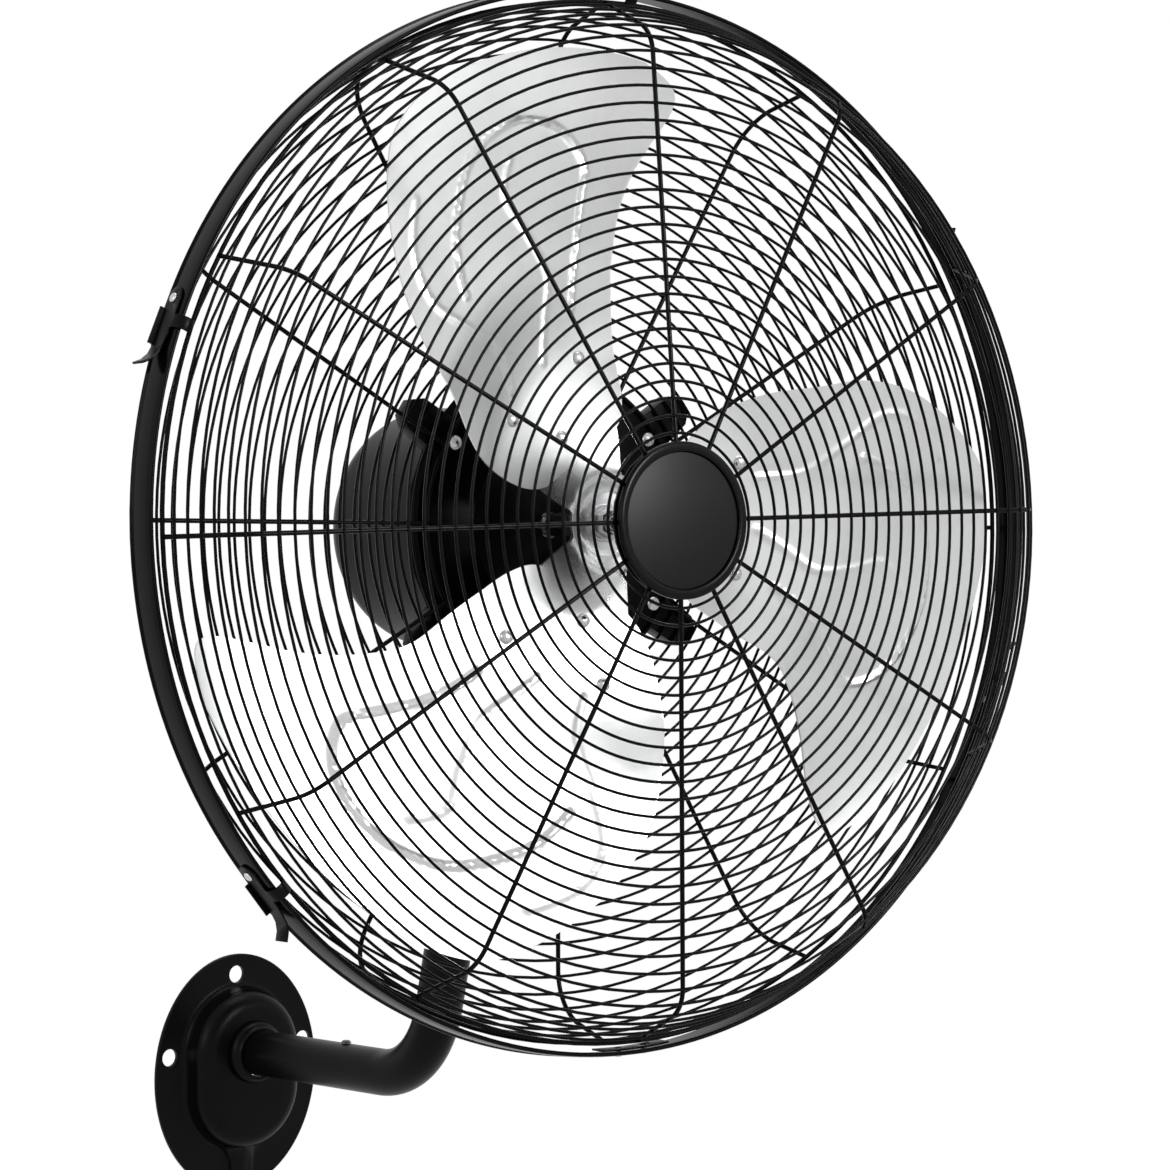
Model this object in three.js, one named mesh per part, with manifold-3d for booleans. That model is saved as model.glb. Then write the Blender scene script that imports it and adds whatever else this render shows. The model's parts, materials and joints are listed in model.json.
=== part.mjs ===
// A 24-inch wall mounted fan: an oval pressed wall plate carries a bent tube arm, and on the arm's
// top a swivel and a tilting head with motor, three riveted blades and a two-part wire guard that
// is held in a riveted band by five turning latches.
//
// Units are millimetres. The part's frame has its origin on the wall plate's mounting face, on the
// arm's axis: +X right and +Z up as seen from the front, with the fan towards -Y.
//
// The head has a frame of its own: X to the right, Y to the rear along the fan's axis and Z up, with
// its origin in the front edge plane of the band. Sizes along the fan's axis are written as "forward"
// values, which are -Y there, and revolved pieces turn about that axis.
import * as THREE from 'three';
import { mergeVertices } from 'three/addons/utils/BufferGeometryUtils.js';
import Module from 'manifold-3d';

const wasm = await Module();
wasm.setup();

// ---- Driving dimensions ------------------------------------------------------------------------

const CLEARANCE = 0.3;

// Wall plate: an oval plate with a pressed hollow dome that runs down into a cable channel.
const PLATE_HALF_WIDTH = 69.5;
const PLATE_TOP = 68.5;
const PLATE_BOTTOM = -103;
const PLATE_THICKNESS = 2.8;
const DOME_RADIUS = 45;
const DOME_HEIGHT = 22;
const DOME_ROUNDING = 10;
const CHANNEL_WIDTH = 19;
const CHANNEL_HEIGHT = 9;
const CHANNEL_NECK_DROP = 66;
const CHANNEL_FOOT_MARGIN = 4;
const PLATE_HOLE_DIAMETER = 12.6;
const PLATE_SIDE_HOLE_OFFSET = 58;
const PLATE_TOP_HOLE_HEIGHT = 54;

// Arm: one round tube with a single bend, in the plane X = 0.
const TUBE_DIAMETER = 32;
const TUBE_WALL = 2;
const ROOT_DEPTH = 8;
const ROOT_CROSSING = 15;
const ROOT_RISE = 3.05;
const ROOT_CLEARANCE = 0.6;
const ELBOW_REACH = 228.7;
const BEND_RADIUS = 70;
const BEND_STEPS = 7;
const UPRIGHT_LEAN = 14;
const UPRIGHT_TOP = 230;
const COLLAR_LENGTH = 9;
const COLLAR_DIAMETER = 45;
const ARM_SCREW_REACH = 135.8;
const ARM_SCREW_DIAMETER = 4;

// Swivel at the arm's top: the neck turns about a vertical pin, the head tilts about a cross bolt.
const PIVOT_REACH = 299.2;
const PIVOT_HEIGHT = 289.5;
const NECK_SLEEVE_LENGTH = 46;
const NECK_WALL = 5;
const NECK_TOP = 246;
const SWIVEL_DIAMETER = 48;
const YOKE_BASE_THICKNESS = 10;
const YOKE_EAR_THICKNESS = 6;
const YOKE_EAR_RADIUS = 15;
const PIN_DIAMETER = 12;
const PIN_DEPTH = 10;
const PIN_HEAD_HEIGHT = 6;
const TILT_BOLT_DIAMETER = 10;
const TILT_NUT_WIDTH = 17;
const TILT_NUT_HEIGHT = 8;
const TILT_HEAD_HEIGHT = 6.5;
const LUG_WIDTH = 22;
const LUG_RADIUS = 14;
const PAN_AT_REST = -4.7;
const TILT_AT_REST = -3.2;
const PIVOT_BEHIND_BAND = 148;
const PIVOT_BELOW_AXIS = 98;

// Band and wire guards.
const BAND_RADIUS = 330;
const BAND_WIDTH = 20;
const BAND_SHEET = 1.2;
const BAND_FLANGE = 9;
const BAND_BEAD = 2.4;
const RING_WIRE = 2;
const RADIAL_WIRE = 3;
const RADIALS = 12;
const FRONT_RING_PITCH = 31.92;
const FRONT_RING_START = 64.1;
const FRONT_REFERENCE_RADIUS = 53.5;
const FRONT_EDGE_RADIUS = 287.3;
const FRONT_DEPTH = 62.3;
const FRONT_SLOPE = 2.6;
const SHOULDER_RADIUS = 22;
const SIDE_SLOPE = 64;
const FRONT_RIM_RADIUS = 324;
const INNER_RING_RADIUS = 44;
const FRONT_FACE_RINGS = 7;
const SHOULDER_STEPS = 2;
const REAR_DEPTH = 68;
const REAR_EDGE_RADIUS = 285;
const REAR_SHOULDER_RADIUS = 34;
const REAR_SHOULDER_SWEEP = 66;
const REAR_RING_START = 108.6;
const REAR_RING_PITCH = 31.8;
const REAR_FACE_RINGS = 6;
const REAR_SHOULDER_START = 8;
const REAR_TURN = 2;
const REAR_PLATE_INNER = 62;
const REAR_PLATE_OUTER = 100;
const REAR_PLATE_THICKNESS = 1.6;

// Badge in the middle of the front guard.
const BADGE_RADIUS = 41.5;
const BADGE_THICKNESS = 1.4;
const BEZEL_RADIUS = 48.4;
const BEZEL_HEIGHT = 4.5;
const BEZEL_FLOOR = 1.5;
const BADGE_CLAMP_RADIUS = 47;
const BADGE_SCREW_DIAMETER = 4;

// Latches on the band, each turning about its rivet.
const LATCH_AZIMUTHS = [26, 84, 155.6, 216.8, 337.5];
const LATCH_SHEET = 1.2;
const LATCH_LENGTH = 45;
const LATCH_END_RADIUS = 7.5;
const LATCH_LIP_START = 11;
const LATCH_LIP_END = 19;
const LATCH_LIP_RADIUS = 5;
const LATCH_FLANGE_HEIGHT = 4;
const LATCH_TAB_WIDTH = 12;
const LATCH_TAB_START = 31;
const LATCH_LIP_SWEEP = 150;
const LATCH_RIVET_DIAMETER = 4;
const LATCH_RIVET_LENGTH = 4.5;
const JOINT_RIVET_LENGTH = 4;
const JOINT_RIVET_AZIMUTHS = [-91.1, -87.7];
const STRAP_SPAN = 9;
const STRAP_WIDTH = 12;

// Blades: a twisted sheet in polar form, riveted on the front of a pressed spider.
const BLADES = 3;
const BLADE_AZIMUTH = 1.5;
const BLADE_SHEET = 1.6;
const BLADE_ROOT = 47;
const BLADE_RIVETS = [[102, 19], [105, -21], [66, 4.5]];
const BLADE_RIVET_DIAMETER = 5;
const BLADE_RIVET_HEAD = 9;
const RIB_WIDTH = 9;
const RIB_HEIGHT = 1.6;
const RIB_STEPS = 10;
const RIVET_STANDOFF = 0.7;
const RIVET_DRILL_REACH = 8;
const BLADE_COLUMNS = 5;

// The blade's edges and its rib as [radius, degrees from the blade's centre line].
const LEADING_EDGE = [
  [55, 33], [66, 39], [82, 41], [105, 39.5], [130, 35.5], [160, 29.5],
  [190, 25.5], [222, 20], [250, 14], [275, 8], [290, 3], [298, -5],
];
const TRAILING_EDGE = [
  [55, -33], [66, -40], [82, -41], [105, -38.5], [130, -37], [160, -36],
  [190, -38.5], [222, -42.5], [250, -46.5], [275, -49], [290, -48], [298, -42],
];
const BLADE_STATIONS = LEADING_EDGE.map(([radius]) => radius);
const RIB_LOOP = [
  [185, 10], [208, 6], [229, 0], [246, -6], [255, -13], [256, -19], [250, -25],
  [238, -29], [222, -31], [203, -29], [180, -26], [157, -23], [136, -21],
];

// The blade's middle surface: a base, a forward dish beyond the spider, and a twist that peaks.
const BLADE_BASE = -5;
const BLADE_DISH = 16.5;
const DISH_START = 100;
const DISH_LENGTH = 80;
const TWIST_PEAK = 0.29;
const TWIST_FALL = 0.12;
const TWIST_PEAK_RADIUS = 205;
const TWIST_SPREAD = 105;

// Hub and motor, by their distance behind the band's front edge.
const HUB_FRONT = 15;
const HUB_REAR = 31.7;
const HUB_RADIUS = 20;
const SPIDER_SHEET = 2.5;
const SPIDER_WAIST = 50;
const SPIDER_REACH = 113;
const SPIDER_RECESS = 32;
const SPIDER_ARM_HALF = 28;
const SPIDER_CORNER = 6;
const SPIDER_EASE = -0.8;
const SPIDER_COLUMNS = 24;
const SPIDER_LAP = 4;
const SHAFT_DIAMETER = 12;
const SHAFT_END_DIAMETER = 10;
const SHAFT_FRONT = 3;
const NUT_WIDTH = 17;
const NUT_HEIGHT = 7.5;
const WASHER_DIAMETER = 24;
const WASHER_THICKNESS = 1.6;
const SHIELD_RADIUS = 92;
const SHIELD_FRONT = 75;
const SHIELD_REAR = 100;
const SHIELD_WALL = 6;
const EAR_REACH = 115;
const EAR_WIDTH = 26;
const GUARD_SCREW_X = 70;
const GUARD_SCREW_Z = 50;
const GUARD_SCREW_DIAMETER = 5;
const GUARD_SCREW_DEPTH = 8;
const BELL_RADIUS = 70;
const BELL_WALL = 3;
const BELL_REAR = 224;
const BELL_CORNER = 22;
const BEARING_DIAMETER = 28;
const BEARING_WIDTH = 9;
const STATOR_FRONT = 122;
const STATOR_LENGTH = 62;
const STATOR_BORE_DIAMETER = 80;
const AIR_GAP = 0.6;
const GLAND_BEHIND_BAND = 196;
const GLAND_DIAMETER = 16;
const GLAND_BORE = 7;
const GLAND_FLANGE = 5;
const GLAND_NOSE = 9;
const GLAND_NECK = 6;

// Facets round a full turn.
const BAND_FACETS = 36;
const BODY_FACETS = 24;
const SMALL_FACETS = 10;
const RING_FACET_STEP = 110;
const RIVET_FACETS = 6;

// ---- Materials ---------------------------------------------------------------------------------

function finish(color, roughness, metalness) {
  return new THREE.MeshStandardMaterial({ color, roughness, metalness });
}

const GLOSS_BLACK = finish(0x0c0c0d, 0.3, 0.4);
const SATIN_BLACK = finish(0x1a1a1b, 0.5, 0.3);
const ALUMINIUM = finish(0xb4b6b9, 0.38, 0.9);
const POLISHED_ALUMINIUM = finish(0xd0d1d3, 0.2, 1);
const BRIGHT_STEEL = finish(0xc4c5c7, 0.28, 1);
const DARK_STEEL = finish(0x55565a, 0.45, 0.9);
const LAMINATION = finish(0x6d6f73, 0.6, 0.8);
const BLACK_PLASTIC = finish(0x151516, 0.35, 0);
const BADGE_GREY = finish(0x2d2d2f, 0.4, 0.2);
const BLACK_RUBBER = finish(0x101010, 0.8, 0);

// ---- Solids ------------------------------------------------------------------------------------

const { degToRad } = THREE.MathUtils;
const FORWARD = new THREE.Vector3(0, -1, 0);

// A closed geometry as a solid, its faces turned outwards and its shared corners merged.
function solid(geometry) {
  const bare = geometry.clone();
  bare.deleteAttribute('normal');
  bare.deleteAttribute('uv');
  const merged = mergeVertices(bare, 1e-4);
  const corners = merged.index.array;
  const facets = [];
  for (let i = 0; i < corners.length; i += 3) {
    const [a, b, c] = [corners[i], corners[i + 1], corners[i + 2]];
    if (a !== b && b !== c && c !== a) facets.push([a, b, c]);
  }
  const build = (list) => new wasm.Manifold(new wasm.Mesh({
    numProp: 3,
    vertProperties: merged.attributes.position.array,
    triVerts: new Uint32Array(list.flat()),
  }));
  const made = build(facets);
  return made.volume() < 0 ? build(facets.map(([a, b, c]) => [a, c, b])) : made;
}

// A named mesh of one solid.
function piece(name, shape, material) {
  const { vertProperties, triVerts } = shape.getMesh();
  const indexed = new THREE.BufferGeometry();
  indexed.setAttribute('position', new THREE.BufferAttribute(new Float32Array(vertProperties), 3));
  indexed.setIndex(new THREE.BufferAttribute(new Uint32Array(triVerts), 1));
  const geometry = indexed.toNonIndexed();
  geometry.computeVertexNormals();
  const mesh = new THREE.Mesh(geometry, material);
  mesh.name = name;
  return mesh;
}

// Solids joined into one.
function join(...shapes) {
  return shapes.reduce((whole, shape) => whole.add(shape));
}

// A solid with tools cut from it.
function cut(shape, ...tools) {
  return tools.reduce((rest, tool) => rest.subtract(tool), shape);
}

// A profile of [radius, forward] points revolved about the head's Y axis.
function revolve(profile, facets) {
  const points = profile.map(([radius, forward]) => new THREE.Vector2(radius, -forward));
  return new THREE.LatheGeometry(points, facets);
}

// A closed profile of [radius, forward] points, revolved as a ring.
function ringOf(profile, facets) {
  return solid(revolve([...profile, profile[0]], facets));
}

// A washer-like ring from one forward value back to another.
function hollowDisc(inner, outer, front, rear, facets) {
  const clear = inner / Math.cos(Math.PI / facets);
  return ringOf([[clear, front], [outer, front], [outer, rear], [clear, rear]], facets);
}

// A disc on the axis from one forward value back to another.
function disc(radius, front, rear, facets) {
  return solid(revolve([[0, front], [radius, front], [radius, rear], [0, rear]], facets));
}

// A cutter for a round hole along the axis, its facets outside the given radius.
function bore(radius, front, rear, facets) {
  return disc(radius / Math.cos(Math.PI / facets), front, rear, facets);
}

// A shape drawn in X and Y, given depth along Z.
function extruded(shape, depth, curveSegments = 8) {
  return new THREE.ExtrudeGeometry(shape, { depth, curveSegments, bevelEnabled: false });
}

// A shape drawn in Y and Z, given depth along X from a start.
function extrudedAcross(shape, start, depth, curveSegments = 8) {
  const basis = new THREE.Matrix4().makeBasis(
    new THREE.Vector3(0, 1, 0),
    new THREE.Vector3(0, 0, 1),
    new THREE.Vector3(1, 0, 0),
  );
  return solid(extruded(shape, depth, curveSegments).applyMatrix4(basis).translate(start, 0, 0));
}

// A hexagonal bar along Y, from one forward value back to another.
function hexagon(width, front, rear) {
  return disc(width / Math.sqrt(3), front, rear, 6);
}

// Closed skin over rings of points, one ring after another, with fanned ends.
function skin(rings) {
  const count = rings[0].length;
  const last = (rings.length - 1) * count;
  const facets = [];
  for (let row = 0; row < last; row += count) {
    for (let i = 0; i < count; i += 1) {
      const next = (i + 1) % count;
      facets.push(row + i, row + count + i, row + next);
      facets.push(row + next, row + count + i, row + count + next);
    }
  }
  for (let i = 1; i < count - 1; i += 1) {
    facets.push(0, i, i + 1);
    facets.push(last, last + i + 1, last + i);
  }
  const geometry = new THREE.BufferGeometry().setFromPoints(rings.flat());
  geometry.setIndex(facets);
  return solid(geometry);
}

// A round or faceted bar along a path of [reach, height] points in the plane X = 0, where the
// reach runs towards -Y.
function barAlong(path, radius, sides) {
  const rings = path.map(([reach, height], i) => {
    const before = path[Math.max(i - 1, 0)];
    const after = path[Math.min(i + 1, path.length - 1)];
    const run = new THREE.Vector2(after[0] - before[0], after[1] - before[1]).normalize();
    return Array.from({ length: sides }, (_, side) => {
      const angle = (2 * Math.PI * side) / sides;
      const across = radius * Math.sin(angle);
      return new THREE.Vector3(
        radius * Math.cos(angle),
        -(reach - run.y * across),
        height + run.x * across,
      );
    });
  });
  return skin(rings);
}

// The direction at an azimuth in the head's face: 0 is +X and 90 is +Z.
function outward(azimuth) {
  const angle = degToRad(azimuth);
  return new THREE.Vector3(Math.cos(angle), 0, Math.sin(angle));
}

// A solid made along the fan's axis, stood upright with its front end up.
function standing(shape) {
  return shape.rotate([-90, 0, 0]);
}

// A solid made along the fan's axis, laid along X with its front end to the right.
function across(shape) {
  return shape.rotate([0, 0, 90]);
}

// A button or pan headed screw, bolt or rivet along the fan's axis, its head on a seat.
function headed(headRadius, headHeight, shankRadius, seat, length, facets = RIVET_FACETS) {
  return solid(revolve([
    [0, seat + headHeight],
    [headRadius * 0.65, seat + headHeight],
    [headRadius, seat],
    [shankRadius, seat],
    [shankRadius, seat - length],
    [0, seat - length],
  ], facets));
}

// A frame on the head at a point, whose Z axis is the given normal and whose Y axis leans forward.
function seatedFrame(point, normal) {
  const along = new THREE.Vector3().crossVectors(FORWARD, normal).normalize();
  const ahead = new THREE.Vector3().crossVectors(normal, along);
  return new THREE.Matrix4().makeBasis(along, ahead, normal).setPosition(point);
}

// ---- Wall plate and arm ------------------------------------------------------------------------

const TUBE_RADIUS = TUBE_DIAMETER / 2;
const DOME_FACE = PLATE_THICKNESS + DOME_HEIGHT;

// The height of the arm's axis where it leaves the wall plate.
function rootHeight(reach) {
  return (reach - ROOT_CROSSING) * Math.tan(degToRad(ROOT_RISE));
}

// The reach of the upright's axis at a height.
function uprightReach(height) {
  return ELBOW_REACH + (height - rootHeight(ELBOW_REACH)) * Math.tan(degToRad(UPRIGHT_LEAN));
}

// The arm's path as [reach, height] points, from inside the dome round the bend to the top.
function armPath(overrun = 0) {
  const rise = degToRad(ROOT_RISE);
  const turn = Math.PI / 2 - rise - degToRad(UPRIGHT_LEAN);
  const bendStart = ELBOW_REACH - BEND_RADIUS * Math.tan(turn / 2) * Math.cos(rise);
  const centreReach = bendStart - BEND_RADIUS * Math.sin(rise);
  const centreHeight = rootHeight(bendStart) + BEND_RADIUS * Math.cos(rise);
  const bend = Array.from({ length: BEND_STEPS + 1 }, (_, step) => {
    const angle = rise + (turn * step) / BEND_STEPS;
    const reach = centreReach + BEND_RADIUS * Math.sin(angle);
    return [reach, centreHeight - BEND_RADIUS * Math.cos(angle)];
  });
  const root = ROOT_DEPTH - overrun;
  const top = UPRIGHT_TOP + overrun;
  return [[root, rootHeight(root)], ...bend, [uprightReach(top), top]];
}

// The dome's section at one reach: a big circle drawn in to a small one, both set in by inset.
function domeSection(inset, reach) {
  const big = DOME_RADIUS - inset;
  const small = CHANNEL_WIDTH / 2 - inset;
  const taper = Math.asin((big - small) / CHANNEL_NECK_DROP);
  const arc = (radius, height, from, to, steps) => Array.from({ length: steps + 1 }, (_, step) => {
    const angle = from + ((to - from) * step) / steps;
    return new THREE.Vector3(radius * Math.cos(angle), -reach, height + radius * Math.sin(angle));
  });
  return [
    ...arc(big, 0, -taper, Math.PI + taper, 13),
    ...arc(small, -CHANNEL_NECK_DROP, Math.PI + taper, 2 * Math.PI - taper, 3),
  ];
}

// The dome set in by a wall all round, with a rounded shoulder, from a foot up to its face.
function dome(wall, foot) {
  const rounding = DOME_ROUNDING - wall;
  const shoulder = DOME_FACE - wall - rounding;
  const rounds = [0, 30, 60, 90].map((degrees) => {
    const angle = degToRad(degrees);
    const inset = wall + rounding * (1 - Math.cos(angle));
    return domeSection(inset, shoulder + rounding * Math.sin(angle));
  });
  return skin([domeSection(wall, foot), ...rounds]);
}

// A round hole through the plate at a place on it.
function plateHole(x, z) {
  const hole = bore(PLATE_HOLE_DIAMETER / 2, PLATE_THICKNESS + 1, -1, SMALL_FACETS);
  return hole.translate([x, 0, z]);
}

// A bar down the plate under the dome, between two heights and two reaches.
function channelBar(width, foot, rear, front) {
  const top = -CHANNEL_NECK_DROP;
  const bar = new THREE.BoxGeometry(width, front - rear, top - foot);
  return solid(bar.translate(0, -(front + rear) / 2, (top + foot) / 2));
}

// The pressed wall plate: oval sheet, hollow dome, cable channel and three screw holes.
function wallPlate() {
  const outline = new THREE.Shape();
  const middle = (PLATE_TOP + PLATE_BOTTOM) / 2;
  outline.absellipse(0, middle, PLATE_HALF_WIDTH, PLATE_TOP - middle, 0, 2 * Math.PI);
  const sheet = solid(extruded(outline, PLATE_THICKNESS, 16).rotateX(Math.PI / 2));
  const channelFace = PLATE_THICKNESS + CHANNEL_HEIGHT;
  const channelFoot = PLATE_BOTTOM + CHANNEL_FOOT_MARGIN;
  const channelBore = CHANNEL_WIDTH - 2 * PLATE_THICKNESS;
  const tubeHole = bore(TUBE_RADIUS + ROOT_CLEARANCE, DOME_FACE + 1, 0, BODY_FACETS / 2);
  return cut(
    join(
      sheet,
      dome(0, PLATE_THICKNESS / 2),
      channelBar(CHANNEL_WIDTH, channelFoot, PLATE_THICKNESS / 2, channelFace),
    ),
    dome(PLATE_THICKNESS, -1),
    channelBar(channelBore, PLATE_BOTTOM - 1, -1, CHANNEL_HEIGHT),
    tubeHole.translate([0, 0, rootHeight(DOME_FACE)]),
    plateHole(0, PLATE_TOP_HOLE_HEIGHT),
    plateHole(PLATE_SIDE_HOLE_OFFSET, 0),
    plateHole(-PLATE_SIDE_HOLE_OFFSET, 0),
  );
}

// The flared collar round the tube where it leaves the dome.
function rootCollar() {
  const inner = (TUBE_RADIUS + ROOT_CLEARANCE) / Math.cos((2 * Math.PI) / BODY_FACETS);
  const outer = COLLAR_DIAMETER / 2;
  const rear = DOME_FACE + CLEARANCE;
  const front = rear + COLLAR_LENGTH;
  const collar = ringOf([
    [inner, front],
    [inner + 2, front],
    [outer - 1.5, rear + 3],
    [outer, rear + 1.5],
    [outer, rear],
    [inner, rear],
  ], BODY_FACETS / 2);
  return collar.translate([0, 0, rootHeight(DOME_FACE + COLLAR_LENGTH / 2)]);
}

// Moves a solid that stands on the origin up to the small screw's place on the arm.
function atArmScrew(shape) {
  return standing(shape).translate([0, -ARM_SCREW_REACH, rootHeight(ARM_SCREW_REACH)]);
}

// The bent tube, open at both ends, with a hole for the small screw on its top.
function armTube() {
  const hole = bore(ARM_SCREW_DIAMETER / 2 + CLEARANCE, TUBE_RADIUS + 1, 0, RIVET_FACETS);
  return cut(
    barAlong(armPath(), TUBE_RADIUS, 14),
    barAlong(armPath(1), TUBE_RADIUS - TUBE_WALL, 8),
    atArmScrew(hole),
  );
}

function armScrew() {
  const shank = ARM_SCREW_DIAMETER / 2;
  return atArmScrew(headed(2 * shank, 2, shank, TUBE_RADIUS + CLEARANCE, TUBE_WALL + 3));
}

// A level circle of points at a reach and height.
function levelCircle(radius, reach, height) {
  return Array.from({ length: BODY_FACETS / 2 }, (_, i) => {
    const angle = (4 * Math.PI * i) / BODY_FACETS;
    return new THREE.Vector3(radius * Math.cos(angle), radius * Math.sin(angle) - reach, height);
  });
}

// A straight round bar along the upright's axis between two heights.
function uprightBar(radius, foot, top) {
  const path = [foot, top].map((height) => [uprightReach(height), height]);
  return barAlong(path, radius, BODY_FACETS / 2);
}

// The casting on the arm's top: a sleeve round the tube and a level seat for the swivel.
function neck() {
  const foot = UPRIGHT_TOP - NECK_SLEEVE_LENGTH * Math.cos(degToRad(UPRIGHT_LEAN));
  const sleeveBore = (TUBE_RADIUS + CLEARANCE) / Math.cos((2 * Math.PI) / BODY_FACETS);
  const seatRadius = SWIVEL_DIAMETER / 2;
  const seatFoot = UPRIGHT_TOP - NECK_WALL;
  const seat = standing(disc(seatRadius, NECK_TOP, seatFoot, BODY_FACETS));
  const web = skin([
    levelCircle(sleeveBore + NECK_WALL, uprightReach(foot), foot),
    levelCircle(seatRadius, PIVOT_REACH, seatFoot + 1),
  ]);
  const pinHole = bore(PIN_DIAMETER / 2 + CLEARANCE, NECK_TOP + 1, NECK_TOP - PIN_DEPTH, SMALL_FACETS);
  return cut(
    join(
      uprightBar(sleeveBore + NECK_WALL, foot, UPRIGHT_TOP + NECK_WALL),
      seat.translate([0, -PIVOT_REACH, 0]),
      web,
    ),
    uprightBar(sleeveBore, foot - TUBE_RADIUS, UPRIGHT_TOP + CLEARANCE),
    standing(pinHole).translate([0, -PIVOT_REACH, 0]),
  );
}

// The vertical pin that the yoke turns on, screwed into the neck.
function swivelPin() {
  const seat = NECK_TOP + YOKE_BASE_THICKNESS + 2 * CLEARANCE;
  const length = seat - (NECK_TOP - PIN_DEPTH + CLEARANCE);
  const pin = headed(PIN_DIAMETER * 0.8, PIN_HEAD_HEIGHT, PIN_DIAMETER / 2, seat, length, SMALL_FACETS);
  return standing(pin).translate([0, -PIVOT_REACH, 0]);
}

// ---- Swivel, in a frame with its origin where the pan and tilt axes cross ------------------------

const YOKE_FLOOR = NECK_TOP + CLEARANCE - PIVOT_HEIGHT;
const EAR_INNER = LUG_WIDTH / 2 + CLEARANCE;
const EAR_OUTER = EAR_INNER + YOKE_EAR_THICKNESS;
const TILT_BORE_RADIUS = TILT_BOLT_DIAMETER / 2 + CLEARANCE;

// The bore for the tilt bolt, right through along X.
function tiltBore() {
  return across(bore(TILT_BORE_RADIUS, EAR_OUTER + 1, -EAR_OUTER - 1, SMALL_FACETS));
}

// The fork: a round base that turns on the neck, and two ears for the tilt bolt.
function yoke() {
  const top = YOKE_FLOOR + YOKE_BASE_THICKNESS;
  const base = standing(disc(SWIVEL_DIAMETER / 2, top, YOKE_FLOOR, BODY_FACETS));
  const ear = new THREE.Shape();
  ear.absarc(0, 0, YOKE_EAR_RADIUS, 0, Math.PI, false);
  ear.lineTo(-YOKE_EAR_RADIUS, top - 1);
  ear.lineTo(YOKE_EAR_RADIUS, top - 1);
  const pinHole = standing(bore(PIN_DIAMETER / 2 + CLEARANCE, top + 1, YOKE_FLOOR - 1, SMALL_FACETS));
  return cut(
    join(
      base,
      extrudedAcross(ear, EAR_INNER, YOKE_EAR_THICKNESS),
      extrudedAcross(ear, -EAR_OUTER, YOKE_EAR_THICKNESS),
    ),
    pinHole,
    tiltBore(),
  );
}

// The tilt bolt with its hexagon head, right through the ears and the motor's lug.
function tiltBolt() {
  const seat = EAR_OUTER + CLEARANCE;
  const end = -EAR_OUTER - 1.2 * TILT_BOLT_DIAMETER;
  const shank = disc(TILT_BOLT_DIAMETER / 2, seat + 1, end, SMALL_FACETS);
  return across(join(shank, hexagon(TILT_NUT_WIDTH, seat + TILT_HEAD_HEIGHT, seat)));
}

function tiltNut() {
  const seat = -EAR_OUTER - CLEARANCE;
  const thread = bore(TILT_BORE_RADIUS, seat + 1, seat - TILT_BOLT_DIAMETER, SMALL_FACETS);
  return across(cut(hexagon(TILT_NUT_WIDTH, seat, seat - TILT_NUT_HEIGHT), thread));
}

// ---- Wire guards and band ----------------------------------------------------------------------

// Wires are drawn four-sided, a little over their radius at the corners to keep their area.
const RING_CORNER = RING_WIRE * 0.6;
const RADIAL_CORNER = RADIAL_WIRE * 0.6;
const RIM_FORWARD = RADIAL_CORNER + CLEARANCE;
const FACE_ANGLE = degToRad(FRONT_SLOPE);
const SIDE_ANGLE = degToRad(SIDE_SLOPE);

// The forward place of the front guard's face at a radius, on its shallow cone.
function faceForward(radius) {
  return FRONT_DEPTH - (radius - FRONT_REFERENCE_RADIUS) * Math.tan(FACE_ANGLE);
}

// Points round a guard's shoulder between two angles, as [radius, forward].
function shoulderArc(centreRadius, centreForward, radius, from, to) {
  return Array.from({ length: SHOULDER_STEPS + 1 }, (_, step) => {
    const angle = from + ((to - from) * step) / SHOULDER_STEPS;
    return [centreRadius + radius * Math.sin(angle), centreForward + radius * Math.cos(angle)];
  });
}

// How many straight facets a ring has in one bay between two radial wires.
function facetsPerBay(radius) {
  return Math.max(1, Math.round(radius / RING_FACET_STEP));
}

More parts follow.
